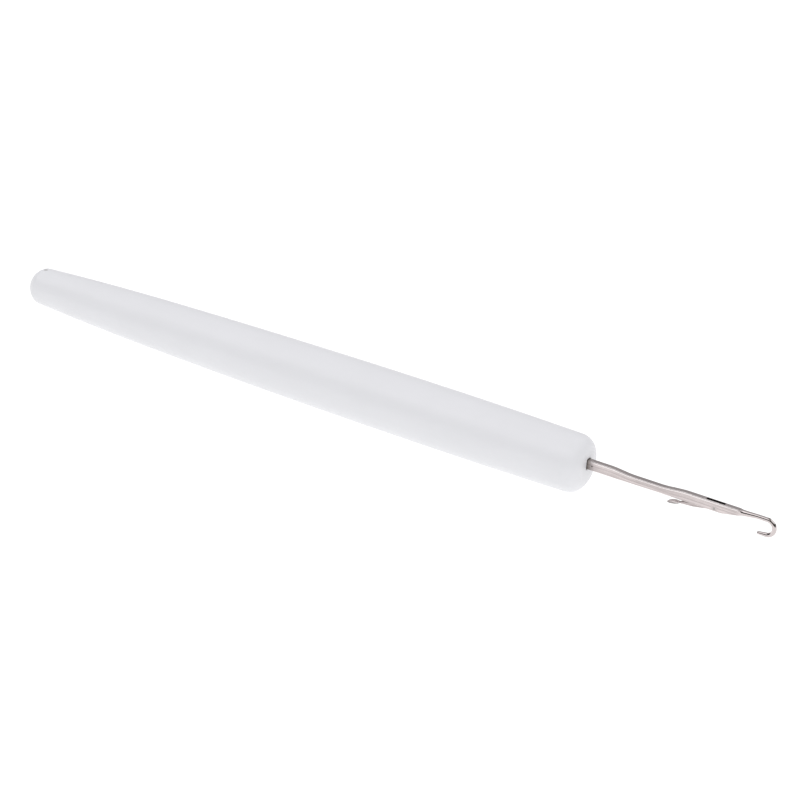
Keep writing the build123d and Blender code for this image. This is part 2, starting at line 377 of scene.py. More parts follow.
class Effects:
    """Node groups for the effects that several finishes share, each built once."""

    cloud_span: tuple[float, float] = (0.3, 0.7)
    rub_least: float = 0.45
    gate_rate: float = 3.0
    gate_span: tuple[float, float] = (0.5, 0.62)

    def open_group(self, name: str, output: str, inputs: dict[str, Feed]) -> tuple[Bench, dict]:
        """Starts a group with named sockets.

        Args:
            name: the group's name.
            output: the name of its one output, a value.
            inputs: each input's name and first value, a tuple for a vector.

        Returns:
            The bench of its tree, and its inputs by name.
        """
        tree = bpy.data.node_groups.new(name, "ShaderNodeTree")
        for label, value in inputs.items():
            kind = "NodeSocketVector" if isinstance(value, tuple) else "NodeSocketFloat"
            tree.interface.new_socket(name=label, in_out="INPUT", socket_type=kind).default_value = value
        tree.interface.new_socket(name=output, in_out="OUTPUT", socket_type="NodeSocketFloat")
        entry = tree.nodes.new("NodeGroupInput")
        return Bench(tree), {label: entry.outputs[label] for label in inputs}

    def close_group(self, bench: Bench, value: bpy.types.NodeSocket) -> bpy.types.NodeTree:
        """Leads a value to the group's output and gives the finished tree."""
        bench.add("NodeGroupOutput", {0: value})
        return bench.tree

    @cached_property
    def clouding(self) -> bpy.types.NodeTree:
        """Soft patches of a given size between a low and a high value."""
        inputs = {"Place": NOWHERE, "Patch size": 1.0, "Detail": 3.0, "Low": 0.0, "High": 1.0}
        bench, take = self.open_group("clouding", "Value", inputs)
        rate = bench.sum("DIVIDE", 1.0, take["Patch size"])
        noise = bench.noise(take["Place"], rate, take["Detail"])
        return self.close_group(bench, bench.rise(noise, *self.cloud_span, take["Low"], take["High"],
                                                    "LINEAR"))

    @cached_property
    def grain(self) -> bpy.types.NodeTree:
        """Fine lines drawn out along the first direction of the place that it is given."""
        inputs = {"Place": NOWHERE, "Line width": 0.05, "Stretch": 30.0}
        bench, take = self.open_group("drawn grain", "Value", inputs)
        rate = bench.sum("DIVIDE", 1.0, take["Line width"])
        slow = bench.sum("DIVIDE", rate, take["Stretch"])
        rates = bench.add("ShaderNodeCombineXYZ", {0: slow, 1: rate, 2: rate}).outputs[0]
        drawn = bench.vector("MULTIPLY", {0: take["Place"], 1: rates})
        return self.close_group(bench, bench.noise(drawn, 1.0))

    @cached_property
    def wear(self) -> bpy.types.NodeTree:
        """Exposed edges worn in broken patches; on the steel the same mask also paints highlights."""
        inputs = {"Exposure": 0.0, "Place": NOWHERE, "Patch size": 0.5, "Amount": 0.5}
        bench, take = self.open_group("edge rub", "Mask", inputs)
        noise = bench.noise(take["Place"], bench.sum("DIVIDE", 1.0, take["Patch size"]), 4.0)
        broken = bench.sum("MULTIPLY", take["Exposure"], bench.sum("ADD", noise, self.rub_least))
        worn_and_highlight_tone = bench.sum("MULTIPLY", broken, take["Amount"])
        return self.close_group(bench, bench.add("ShaderNodeClamp", {0: worn_and_highlight_tone}).outputs[0])

    @cached_property
    def hairlines(self) -> bpy.types.NodeTree:
        """Sparse thin scratches that wander along the surface, as a thin slice of a stretched noise."""
        inputs = {"Place": NOWHERE, "Spacing": 4.0, "Thinness": 0.01}
        bench, take = self.open_group("hairlines", "Mask", inputs)
        rate = bench.sum("DIVIDE", 1.0, take["Spacing"])
        apart = bench.sum("ABSOLUTE", bench.sum("SUBTRACT", bench.noise(take["Place"], rate, 1.0), 0.5))
        line = bench.rise(apart, 0.0, take["Thinness"], 1.0, 0.0, "LINEAR")
        gate = bench.noise(take["Place"], bench.sum("MULTIPLY", rate, self.gate_rate))
        patchy = bench.rise(gate, *self.gate_span, kind="LINEAR")
        return self.close_group(bench, bench.sum("MULTIPLY", line, patchy))

    @cached_property
    def pits(self) -> bpy.types.NodeTree:
        """Small round pits scattered at a spacing, deepest in their middles."""
        inputs = {"Place": NOWHERE, "Spacing": 0.5, "Pit size": 0.15}
        bench, take = self.open_group("pits", "Mask", inputs)
        feeds = {"Vector": take["Place"], "Scale": bench.sum("DIVIDE", 1.0, take["Spacing"])}
        apart = bench.add("ShaderNodeTexVoronoi", feeds).outputs["Distance"]
        return self.close_group(bench, bench.rise(apart, 0.0, take["Pit size"], 1.0, 0.0))


@dataclass(frozen=True)
class MouldedPlastic:
    """Smooth white moulded plastic, faintly clouded, with flow marks, an orange-peel skin and hairlines.

    A mask's rough is what it adds to the roughness, and clean_rough is what the clean skin lacks of it.
    """

    name: str = "white moulded plastic"
    colour: Colour = (0.785, 0.789, 0.814, 1.0)
    clouded: Colour = (0.763, 0.766, 0.789, 1.0)
    # Painted shade tone for the gate mark's dimple, the socket's mouth and the socket, and for the dark spot
    # on the butt's rim.
    shade_and_spot_tone: Colour = (0.42, 0.41, 0.40, 1.0)
    roughness: float = 0.36
    clean_rough: float = -0.03
    cloud_rough: float = 0.05
    scratch_rough: float = 0.18
    rub_rough: float = 0.1
    ior: float = 1.42
    cloud_size: float = 9.0
    cloud_share: float = 0.5
    flow_width: float = 1.3
    flow_stretch: float = 14.0
    skin_size: float = 0.32
    skin_detail: float = 1.0
    skin_depth: float = 0.0022
    wave_size: float = 5.0
    wave_detail: float = 0.5
    wave_depth: float = 0.02
    scratch_spacing: float = 3.2
    scratch_thinness: float = 0.006
    scratch_depth: float = 0.002
    rub_size: float = 0.9
    rub_amount: float = 0.6
    # A dark spot on the butt's rim: its middle, its fade and its strength.
    dark_spot_place: tuple[float, float, float] = (2.7, -0.124, 3.553)
    dark_spot_fade: tuple[float, float] = (0.22, 0.52)
    dark_spot_strength: float = 0.75

    def build(self, effects: Effects) -> bpy.types.Material:
        """Builds the material.

        Args:
            effects: the shared node groups.

        Returns:
            The material.
        """
        material = bpy.data.materials.new(self.name)
        bench = open_tree(material)
        place = bench.place()
        cloud = bench.group(effects.clouding, place=place, patch_size=self.cloud_size)
        flow = bench.group(effects.grain, place=place, line_width=self.flow_width, stretch=self.flow_stretch)
        scratch = bench.group(effects.hairlines, place=place, spacing=self.scratch_spacing,
                              thinness=self.scratch_thinness)
        skin = bench.group(effects.clouding, place=place, patch_size=self.skin_size, detail=self.skin_detail)
        wave = bench.group(effects.clouding, place=place, patch_size=self.wave_size, detail=self.wave_detail)
        rub = bench.group(effects.wear, exposure=bench.mark(Mark.EDGE), place=place, patch_size=self.rub_size,
                          amount=self.rub_amount)
        blend = bench.sum("MULTIPLY", bench.sum("ADD", cloud, flow), self.cloud_share)
        colour = bench.mix(blend, self.colour, self.clouded)
        # Painted shade in the gate mark's dimple, round the socket's mouth and in the socket.
        colour = bench.mix(bench.mark(Mark.STAIN), colour, self.shade_and_spot_tone)
        # A dark spot on the butt's rim, in the same tone.
        from_dark_spot = bench.vector("DISTANCE", {0: place, 1: self.dark_spot_place}, "Value")
        clear_of_dark_spot = bench.rise(from_dark_spot, *self.dark_spot_fade)
        colour = bench.mix(bench.blend(clear_of_dark_spot, self.dark_spot_strength, 0.0), colour, self.shade_and_spot_tone)
        rough = bench.pile(self.roughness + self.clean_rough, (cloud, self.cloud_rough),
                           (scratch, self.scratch_rough), (rub, self.rub_rough))
        heights = bench.pile(bench.sum("MULTIPLY", skin, self.skin_depth * MILLIMETRE),
                             (wave, self.wave_depth * MILLIMETRE),
                             (scratch, -self.scratch_depth * MILLIMETRE))
        bench.end(bench.add("ShaderNodeBsdfPrincipled", {
            "Base Color": colour, "Roughness": rough, "IOR": self.ior, "Normal": bench.bump(heights)}))
        return material


@dataclass(frozen=True)
class DrawnSteel:
    """Tumbled steel with a grain, light worn edges, painted highlights, and painted shade on cuts and root.

    A mask's rough is what it adds to the roughness, and clean_rough is what the smooth metal lacks of it.
    """

    name: str
    colour: Colour = (0.67, 0.605, 0.60, 1.0)
    shaded: Colour = (0.45, 0.403, 0.40, 1.0)
    # Light tone of worn edges, which also paints highlights.
    worn_and_highlight_tone: Colour = (0.84, 0.79, 0.785, 1.0)
    polished: Colour = (0.61, 0.555, 0.55, 1.0)
    # Painted shade tone for the root, the hollows and the dark reflection lines.
    painted_shade_tone: Colour = (0.092, 0.080, 0.052, 1.0)
    # Near-black painted shade for the cut faces in the slot, the holes and the pit.
    sawn_shade_tone: Colour = (0.035, 0.032, 0.03, 1.0)
    roughness: float = 0.27
    clean_rough: float = -0.08
    grain_rough: float = 0.16
    cloud_rough: float = 0.05
    rub_rough: float = -0.08
    polish_rough: float = -0.18
    # Roughness added under the painted shade.
    painted_shade_rough: float = 0.18
    cut_rough: float = 0.3
    cut_metal: float = -0.35
    grain_width: float = 0.045
    grain_stretch: float = 26.0
    grain_depth: float = 0.0016
    streak_width: float = 0.27
    streak_stretch: float = 45.0
    streak_rise: tuple[float, float] = (0.36, 0.64)
    fine_share: float = 0.35
    cloud_share: float = 0.5
    cloud_size: float = 1.6
    polish_share: float = 0.7
    pit_spacing: float = 0.34
    pit_size: float = 0.22
    pit_depth: float = 0.003
    rub_size: float = 0.45
    rub_amount: float = 0.9
    blotch_size: float = 0.35
    blotch_low: float = 0.55

    def build(self, effects: Effects) -> bpy.types.Material:
        """Builds the material.

        Args:
            effects: the shared node groups.

        Returns:
            The material.
        """
        material = bpy.data.materials.new(self.name)
        bench = open_tree(material)
        place, lay = bench.place(), bench.mark(Mark.LAY, "Vector")
        marks = (Mark.EDGE, Mark.STAIN, Mark.POLISH, Mark.CUT)
        edge, stain, polish, cut = (bench.mark(mark) for mark in marks)
        grain = bench.group(effects.grain, place=lay, line_width=self.grain_width, stretch=self.grain_stretch)
        streak = bench.group(effects.grain, place=lay, line_width=self.streak_width,
                             stretch=self.streak_stretch)
        cloud = bench.group(effects.clouding, place=place, patch_size=self.cloud_size)
        pit = bench.group(effects.pits, place=place, spacing=self.pit_spacing, pit_size=self.pit_size)
        rub = bench.group(effects.wear, exposure=edge, place=place, patch_size=self.rub_size,
                          amount=self.rub_amount)
        blotch = bench.group(effects.clouding, place=place, patch_size=self.blotch_size, low=self.blotch_low)
        fine = bench.sum("MULTIPLY", bench.sum("ADD", cloud, grain), self.cloud_share)
        colour = bench.mix(bench.blend(self.fine_share, bench.rise(streak, *self.streak_rise), fine),
                           self.colour, self.shaded)
        # Polish, then wear and painted highlight in the light tone, painted shade broken by blotches, and the
        # cut faces' near-black painted shade.
        for mask, tint in ((bench.sum("MULTIPLY", polish, self.polish_share), self.polished),
                           (rub, self.worn_and_highlight_tone), (bench.sum("MULTIPLY", stain, blotch), self.painted_shade_tone),
                           (cut, self.sawn_shade_tone)):
            colour = bench.mix(mask, colour, tint)
        rough = bench.pile(self.roughness + self.clean_rough, (grain, self.grain_rough),
                           (cloud, self.cloud_rough), (rub, self.rub_rough), (polish, self.polish_rough),
                           (stain, self.painted_shade_rough), (cut, self.cut_rough))
        heights = bench.pile(bench.sum("MULTIPLY", grain, self.grain_depth * MILLIMETRE),
                             (pit, -self.pit_depth * MILLIMETRE))
        bench.end(bench.add("ShaderNodeBsdfPrincipled", {
            "Base Color": colour, "Roughness": rough, "Metallic": bench.pile(1.0, (cut, self.cut_metal)),
            "Normal": bench.bump(heights)}))
        return material


@dataclass(frozen=True)
class Handle:
    """Round moulded handle with a domed butt, a rounded nose and the socket that grips the tang."""

    length: float = 120.0
    butt_flat_radius: float = 1.2
    dome_height: float = 2.2
    rim_radius: float = 3.5
    rim_rounding: float = 0.35
    knee: tuple[float, float] = (30.0, 4.78)
    barrel: tuple[float, float] = (90.0, 5.6)
    nose_radius: float = 5.35
    nose_rounding: float = 2.8
    seam_angle: float = 60.0
    seam_height: float = 0.014
    seam_width: float = 0.1
    seam_glow: float = 1.6
    seam_fans: tuple[tuple[float, int, float], ...] = ((11.0, 31, 12.0), (2.8, 9, 4.0))
    even_turns: int = 132
    gate_radius: float = 0.55
    gate_depth: float = 0.16
    gate_setback: float = 0.55
    # Painted shade in the gate mark's dimple, and where it fades out.
    gate_shade: float = 0.25
    gate_fade: float = 1.12
    socket_height: float = 0.72
    socket_half_width: float = 0.57
    socket_half_depth: float = 0.91
    mouth_half_width: float = 0.71
    mouth_half_depth: float = 1.05
    mouth_depth: float = 0.35
    # Painted shade on the nose face round the socket's mouth.
    mouth_shade: float = 0.35
    mouth_power: float = 9.0
    socket_power: float = 40.0
    # Painted shade on the socket's walls.
    socket_shade: float = 0.8
    socket_end: float = 89.98
    pocket_span: tuple[float, float] = (91.98, 93.62)
    pocket_rise: float = 1.7
    bead_radius: float = 0.43
    bead_places: tuple[float, ...] = (102.0, 108.0, 114.0)
    face_shares: tuple[float, ...] = (0.0, 0.25, 0.5, 0.72, 0.88, 0.965, 1.0)
    # Shares of the nose face over which the painted shade rises to the mouth.
    face_dark: tuple[float, float] = (0.9, 1.0)
    rim_clear: float = 1.2
    crease: float = 38.0

    @property
    def dome(self) -> tuple[float, float]:
        """Middle, along the axis, and radius of the circle that draws the butt's dome."""
        centre = self.dome_height**2 + self.rim_radius**2 - self.butt_flat_radius**2
        centre /= 2.0 * self.dome_height
        return centre, hypot(centre, self.butt_flat_radius)

    def outer_profile(self) -> Array:
        """Places the outside from the butt's middle to the nose's flat, as distance along and radius.

        The dome is a circle about a point on the axis, the side is three arcs that meet without a corner,
        and the nose is one more arc. The rim is eased by a curve drawn towards its corner.

        Returns:
            The profile's points in order.
        """
        rim = np.array([self.dome_height, self.rim_radius])
        centre, radius = self.dome
        turn = np.linspace(atan2(self.butt_flat_radius, -centre), atan2(rim[1], rim[0] - centre), 44)
        dome = as_points(centre + radius * np.cos(turn), radius * np.sin(turn))
        flat = as_points(0.0, np.linspace(0.0, self.butt_flat_radius, 5)[:-1])
        knee, barrel = np.array(self.knee), np.array(self.barrel)
        middle, leaving = tangent_arc(barrel, np.array([-1.0, 0.0]), knee, 44)
        slim, arriving = tangent_arc(knee, leaving, rim, 40)
        nose_edge = np.array([self.length - self.nose_rounding, self.nose_radius])
        front, onward = tangent_arc(barrel, np.array([1.0, 0.0]), nose_edge, 22)
        nose_flat = np.array([self.length, self.nose_radius - self.nose_rounding])
        nose, _ = tangent_arc(nose_edge, onward, nose_flat, 22)
        dome_way = np.array([-np.sin(turn[-1]), np.cos(turn[-1])]) * np.sign(turn[-1] - turn[0])
        bend = np.arccos(np.clip(dome_way @ -arriving, -1.0, 1.0))
        ease = self.rim_rounding * tan(bend / 2.0)
        share = np.linspace(0.0, 1.0, 5)[:, None]
        before, after = rim - dome_way * ease, rim - arriving * ease
        eased = (1 - share) ** 2 * before + 2 * share * (1 - share) * rim + share**2 * after
        dome, slim = (line[np.linalg.norm(line - rim, axis=1) > ease * self.rim_clear]
                      for line in (dome, slim[::-1]))
        return np.concatenate([flat, dome, eased, slim[:-1], middle[::-1][:-1], front[:-1], nose])

    def angles(self) -> Array:
        """Spaces the angles round the axis, closer at the moulding seams and at the gate mark.

        A seam's fan has its half angle, its count and the half angle that it clears of even ones.
        """
        turns = np.linspace(0.0, FULL_TURN, self.even_turns, endpoint=False)
        fans = []
        for seam, (half, count, clear) in zip(self.seams, self.seam_fans):
            turns = turns[np.abs(turns - seam) > radians(clear)]
            fans.append(seam + np.radians(np.linspace(-half, half, count)))
        return np.sort(np.concatenate([turns, *fans]))

    @property
    def seams(self) -> Array:
        """Angles of the two moulding seams."""
        return radians(self.seam_angle) + np.array([0.0, pi])

    def from_seams(self, turn: Array) -> Array:
        """Measures the angle from each given one to the nearer seam."""
        return np.abs((turn[:, None] - self.seams + pi) % FULL_TURN - pi).min(axis=1)

    def gate_ball(self) -> Array:
        """Places the middle of the ball that leaves the gate mark in the dome."""
        centre, radius = self.dome
        lean = atan2(self.rim_radius, centre - self.dome_height) - self.gate_setback / radius
        reach = radius + self.gate_radius - self.gate_depth
        rise = reach * sin(lean)
        turn = radians(self.seam_angle)
        return np.array([centre - reach * cos(lean), rise * cos(turn), rise * sin(turn)])

    def skin(self, turn: Array) -> Array:
        """Turns the profile round the axis, raises the two seams and presses in the gate mark.

        A seam is a low ridge that falls off with the square of the distance along the skin. A point inside
        the gate mark's ball moves straight out from the ball's middle to its surface.

        Args:
            turn: the angles round the axis.

        Returns:
            The grid of points, profile by angle.
        """
        profile = self.outer_profile()
        radius = profile[:, 1:2]
        ridge = self.seam_height * np.exp(-(radius * self.from_seams(turn) / self.seam_width) ** 2)
        reach = radius + ridge * smooth_step(radius, self.butt_flat_radius, self.rim_radius)
        grid = as_points(profile[:, :1], reach * np.cos(turn), reach * np.sin(turn))
        ball = self.gate_ball()
        away = grid - ball
        distance = np.linalg.norm(away, axis=2, keepdims=True)
        return np.where(distance < self.gate_radius, ball + away / distance * self.gate_radius, grid)

    def box_ring(self, rays: Array, width: float, up: float, down: float, square: float) -> Array:
        """Reaches from the socket's middle to a box with eased corners, along given rays.

        The reach is the inverse of the root of the summed powers of the ray over the box's half sizes.

        Args:
            rays: directions across and up.
            width: half width of the box.
            up: its reach upwards.
            down: its reach downwards.
            square: the power, higher for sharper corners.

        Returns:
            Points across and up, from the handle's axis.
        """
        half = as_points(width, np.where(rays[:, 1] > 0.0, up, down))
        reach = ((np.abs(rays) / half) ** square).sum(axis=1) ** (-1.0 / square)
        return rays * reach[:, None] + np.array([0.0, self.socket_height])

    def socket_stations(self) -> list[tuple[float, float, float]]:
        """Lists the socket's stations inwards, each with its reach up and down.

        The beads that fill the tang's notches bulge in as half circles, and the pocket takes the tang's foot.
        """
        low, high = self.pocket_span
        bead = self.bead_radius * np.cos(np.linspace(0.0, pi, 11))
        places = np.concatenate([np.linspace(self.length - self.mouth_depth, high, 16),
                                 *[place + bead for place in self.bead_places]])
        places = np.unique(np.round(places, 6))[::-1]
        gap = np.abs(places[:, None] - np.array(self.bead_places)).min(axis=1)
        bulge = np.sqrt(np.clip(self.bead_radius**2 - gap**2, 0.0, None))
        reach = self.socket_half_depth - bulge
        depth, tall = self.socket_half_depth, self.socket_half_depth + self.pocket_rise
        return [*zip(places, reach, reach), (high, tall, depth), (low, tall, depth), (low, depth, depth),
                (self.socket_end, depth, depth)]

    def build(self, material: bpy.types.Material) -> bpy.types.Object:
        """Builds the handle's closed shell and dresses it.

        Args:
            material: the plastic.

        Returns:
            The handle.
        """
        turn = self.angles()
        shell = Shell("moulded_handle")
        skin = self.skin(turn)
        # The gate mark's dimple is darkened as painted shade.
        gate_gap = np.linalg.norm(skin - self.gate_ball(), axis=2) / self.gate_radius
        shell.add(skin, wrap=True, edge=np.exp(-(self.from_seams(turn) / radians(self.seam_glow)) ** 2),
                  stain=self.gate_shade * (1.0 - smooth_step(gate_gap, 1.0, self.gate_fade)))
        ring = skin[-1, :, 1:]
        rays = ring - np.array([0.0, self.socket_height])
        mouth = self.box_ring(rays, self.mouth_half_width, self.mouth_half_depth, self.mouth_half_depth,
                              self.mouth_power)
        # The nose face darkens towards the socket's mouth as painted shade.
        share = np.array(self.face_shares)[:, None, None]
        face = ring * (1.0 - share) + mouth * share
        shell.add(as_points(self.length, face[:, :, 0], face[:, :, 1]), wrap=True,
                  stain=smooth_step(share[:, :, 0], *self.face_dark) * self.mouth_shade)
        walls = [(self.length, mouth)] + [
            (x, self.box_ring(rays, self.socket_half_width, up, down, self.socket_power))
            for x, up, down in self.socket_stations()]
        walls.append((self.socket_end, np.tile([0.0, self.socket_height], (len(turn), 1))))
        rings = np.stack([as_points(x, wall[:, 0], wall[:, 1]) for x, wall in walls])
        # The socket's walls are painted dark as shade.
        shell.add(rings, wrap=True, cut=1.0, stain=self.socket_shade)
        handle = shell.weld(self.crease)
        stand_for(handle, material, "handle", Body.TOOL)
        return handle


@dataclass(frozen=True)
class Needle:
    """Steel stamping: notched tang, shank, waist, two cheeks parted by a saw cut, drawn wire and open hook.

    A half section counts its places from the back's middle. The slot's wall stands at slot_edge and the
    flank begins at flank. The rivet's window begins at flank_row of the flank and at wall_row of the slot's
    wall, and the pit's at pit_row of the flank.
    """

    nose: float = 120.0
    middle: float = 0.72
    half_thickness: float = 0.55
    shank_half: float = 0.89
    rounding: float = 0.14
    waist: tuple[float, float, float] = (4.3, 9.0, 14.0)
    waist_back: float = 0.54
    waist_belly: float = 0.78
    cheek: tuple[float, float] = (19.5, 26.0)
    cheek_back: float = 0.94
    cheek_belly: float = 0.82
    pit_place: float = 1.0
    pit_radius: float = 0.17
    pit_depth: float = 0.07
    pit_half: float = 0.21
    pit_cells: tuple[int, int] = (6, 3)
    pit_row: int = 5
    # Painted shade round the pit; the bowl is painted fully dark, with part of the cut faces' tone.
    pit_shade: float = 0.35
    pit_cut: float = 0.4
    tang_length: float = 30.0
    foot_span: tuple[float, float] = (2.0, 3.6)
    foot_rise: float = 1.7
    notch_radius: float = 0.45
    notch_places: tuple[float, ...] = (-18.0, -12.0, -6.0)
    taper: tuple[float, float] = (29.0, 32.6)
    taper_belly: float = 0.24
    drawn_share: float = 0.26
    back_shares: tuple[float, ...] = (0.62, 0.6, 0.56, 0.5, 0.44, 0.38, 0.33, 0.3, 0.28, 0.27)
    wire_radius: float = 0.41
    wire_height: float = 0.65
    bend_place: float = 34.45
    bend_radius: float = 1.45
    bend_sweep: float = 177.0
    tip_length: float = 1.42
    tip_radius: float = 0.29
    flat_depth: float = 0.1
    flat_angle: float = 55.0
    # Width and strength of the painted dark reflection line round the shoulder's flat.
    flat_line: float = 0.13
    line_shade: float = 1.7
    belly_rub: float = 0.2
    # Painted highlight on the flank's top rows, in the light worn tone.
    flank_highlight: tuple[float, ...] = (1.0, 1.0, 0.75)
    # Painted dark reflection lines along the flank, by row and strength.
    flank_reflection_lines: tuple[tuple[int, float], ...] = ((3, 0.2), (7, 0.1))
    # Painted shade at the root, where the needle enters the handle, and how fast it fades.
    root_shade: float = 0.8
    root_fade: float = 0.9
    polish_rise: tuple[float, float] = (-0.3, 0.5)
    ease_rise: tuple[float, float] = (-0.6, 0.0)
    # Painted shade round the rivet's hole.
    hole_shade: float = 0.45
    station_gap: float = 0.006
    slot_edge: int = 3
    flank: int = 11
    slot_half: float = 0.31
    saw_radius: float = 7.15
    saw_breakthrough: float = 0.22
    rivet_place: float = 24.7
    rivet_drop: float = 0.27
    rivet_hole: float = 0.25
    window_half: float = 0.45
    window_cells: tuple[int, int] = (6, 6)
    flank_row: int = 6
    flank_shares: tuple[float, ...] = (
        0.0, 0.02, 0.10, 0.19, 0.28, 0.37, 0.46, 0.56, 0.66, 0.75, 0.84, 0.92, 0.98, 1.0)
    wall_row: int = 5
    wall_shares: tuple[float, ...] = (
        0.0, 0.1, 0.19, 0.28, 0.37, 0.46, 0.55, 0.63, 0.71, 0.79, 0.86, 0.93, 1.0)
    saw_steps: int = 40001
    crease: float = 30.0

    @property
    def saw_height(self) -> float:
        """Height of the saw's middle."""
        return self.middle + self.cheek_back + self.saw_breakthrough - self.saw_radius

    @property
    def rivet_height(self) -> float:
        """Height of the rivet's middle."""
        return self.middle - self.rivet_drop

    @property
    def rivet_middle(self) -> Array:
        """Middle of the rivet, along and up."""
        return np.array([self.nose + self.rivet_place, self.rivet_height])

    def back_height(self, along: Array) -> Array:
        """Height of the back edge, which dips to the waist and rises to the cheeks in smooth steps."""
        dip = smooth_step(along, self.waist[0], self.waist[1])
        rise = smooth_step(along, self.waist[2], self.cheek[0])
        height = self.shank_half + (self.waist_back - self.shank_half) * dip
        height = height + (self.cheek_back - self.waist_back) * rise
        return self.middle + height - self.notch(along)

    def belly_height(self, along: Array) -> Array:
        """Height of the belly edge, which runs in straight lines."""
        places = (self.waist[0], self.waist[2], self.cheek[0], self.cheek[1], self.taper[0])
        drops = (self.shank_half, self.waist_belly, self.cheek_belly, self.cheek_belly, self.taper_belly)
        return self.middle - np.interp(along, places, drops) + self.notch(along)

    def notch(self, along: Array) -> Array:
        """Depth of the tang's half-round keying notches."""
        gap = np.abs(along[:, None] - np.array(self.notch_places)).min(axis=1)
        return np.sqrt(np.clip(self.notch_radius**2 - gap**2, 0.0, None))

    def roof_height(self, along: Array) -> Array:
        """Height of the slot's roof, which is the saw's circle."""
        gap = along - self.rivet_place
        return self.saw_height + np.sqrt(np.clip(self.saw_radius**2 - gap**2, 0.0, None))

    def slot_ends(self) -> tuple[float, float]:
        """Finds where the saw's circle leaves the belly, from close places where their order changes."""
        along = np.linspace(self.rivet_place - self.saw_radius, self.taper[0], self.saw_steps)
        inside = np.flatnonzero(self.roof_height(along) > self.belly_height(along))
        return float(along[inside[0]]), float(along[inside[-1]])

    def break_half(self) -> float:
        """Half the length of the opening that the saw leaves in the back."""
        return sqrt(self.saw_radius**2 - (self.saw_radius - self.saw_breakthrough) ** 2)

    def stations(self) -> Array:
        """Places the sections of the tang and the blank, closer where the outline turns.

        Returns:
            Distances from the nose, in order.
        """
        notch = self.notch_radius * np.cos(np.linspace(0.0, pi, 11))
        foot, foot_end = (place - self.tang_length for place in self.foot_span)
        first, last = self.slot_ends()
        waist, cheek, rivet, half = self.waist, self.cheek, self.rivet_place, self.window_half
        opening = self.break_half()
        even = runs(
            (foot, foot_end, 4), (foot_end, -1.0, 12), (self.ease_rise[0], 0.0, 5), (0.0, waist[0], 14),
            (waist[0], waist[1], 17), (waist[1], waist[2], 14), (waist[2], cheek[0], 20),
            (cheek[0], first, 3), (first, rivet - opening, 20), (rivet - opening, rivet - half, 8),
            (rivet + half, cheek[1], 6), (cheek[1], last, 16))
        windows = [place + np.linspace(-reach, reach, cells[0] + 1) for place, reach, cells in (
            (self.pit_place, self.pit_half, self.pit_cells), (rivet, half, self.window_cells))]
        notches = [place + notch for place in self.notch_places]
        ends = (-self.tang_length, rivet + opening, self.taper[0])
        along = np.unique(np.round(np.concatenate([even, *windows, *notches, ends]), 5))
        return along[np.diff(along, prepend=-inf) >= self.station_gap]

    def half_section(self, back: Array, belly: Array, ease: Array) -> Array:
        """Draws half of the blank's section at each station, from the back's middle to the belly's middle.

        It runs across the back, round the eased edge by sine and cosine, down the flank and back under.

        Args:
            back: height of the back at each station.
            belly: height of the belly at each station.
            ease: radius of the eased edges at each station.

        Returns:
            Points across and up, station by place on the section.
        """
        back, belly, ease = back[:, None], belly[:, None], ease[:, None]
        inner = np.linspace(0.0, 1.0, 4)[None, :-1] * self.slot_half + 0.0 * back
        step = np.linspace(0.0, 1.0, 3)[None, :-1]
        outer = self.slot_half + (self.half_thickness - ease - self.slot_half) * step
        turn = np.linspace(0.0, QUARTER_TURN, 7)[None, :-1]
        arc_across = self.half_thickness - ease + ease * np.sin(turn)
        arc_drop = ease * (1.0 - np.cos(turn))
        rows = np.array(self.flank_shares)[None, :]
        flank = (back - ease) * (1.0 - rows) + (belly + ease) * rows
        across = np.concatenate([inner, outer, arc_across], axis=1)
        top = np.concatenate([back + 0.0 * inner, back + 0.0 * outer, back - arc_drop], axis=1)
        bottom = np.concatenate([belly + 0.0 * inner, belly + 0.0 * outer, belly + arc_drop], axis=1)
        y = np.concatenate([across, self.half_thickness + 0.0 * flank, across[:, ::-1]], axis=1)
        z = np.concatenate([top, flank, bottom[:, ::-1]], axis=1)
        return np.stack([y, z], axis=2)

    def wire_rings(self, turn: Array) -> Array:
        """Carries the round section along the drawn wire, round the bend and out to the tip's ball.

        A ring's points lie at sine and cosine of their angle, across and away from the bend's middle. The
        path leaves the blank along X, turns about the bend's middle and ends straight. What stands beyond
        the shoulder's flat is pressed back to it.

        Args:
            turn: angle of each of the section's places from the outside of the bend.

        Returns:
            Points, ring by place on the section.
        """
        centre = self.bend_centre
        run = np.linspace(self.nose + self.taper[1], centre[0], 7)[:-1]
        sweep = np.radians(np.linspace(0.0, self.bend_sweep, 84))
        heading = as_points(np.cos(sweep), -np.sin(sweep))
        outward = as_points(np.sin(sweep), np.cos(sweep))
        path = [as_points(run, centre[1] + self.bend_radius), centre + outward * self.bend_radius]
        out = [np.tile(outward[0], (len(run), 1)), outward]
        radius = [np.full(len(run), self.wire_radius), np.full(len(sweep), self.wire_radius)]
        reach = np.linspace(0.0, self.tip_length, 13)[1:]
        end = path[1][-1]
        path.append(end + reach[:, None] * heading[-1])
        out.append(np.tile(outward[-1], (len(reach), 1)))
        radius.append(self.wire_radius + (self.tip_radius - self.wire_radius) * reach / self.tip_length)
        round_off = np.linspace(0.0, QUARTER_TURN, 11)[1:]
        ball = self.tip_length + self.tip_radius * np.sin(round_off)
        path.append(end + ball[:, None] * heading[-1])
        out.append(np.tile(outward[-1], (len(ball), 1)))
        radius.append(self.tip_radius * np.cos(round_off))
        path, out, radius = np.concatenate(path), np.concatenate(out), np.concatenate(radius)
        offset = radius[:, None] * np.cos(turn)
        rings = as_points(path[:, :1] + offset * out[:, :1], radius[:, None] * np.sin(turn),
                          path[:, 1:] + offset * out[:, 1:])
        excess = np.clip(self.over_flat(rings), 0.0, None)[:, :, None]
        shoulder = np.array([cos(radians(self.flat_angle)), 0.0, sin(radians(self.flat_angle))])
        return rings - excess * shoulder

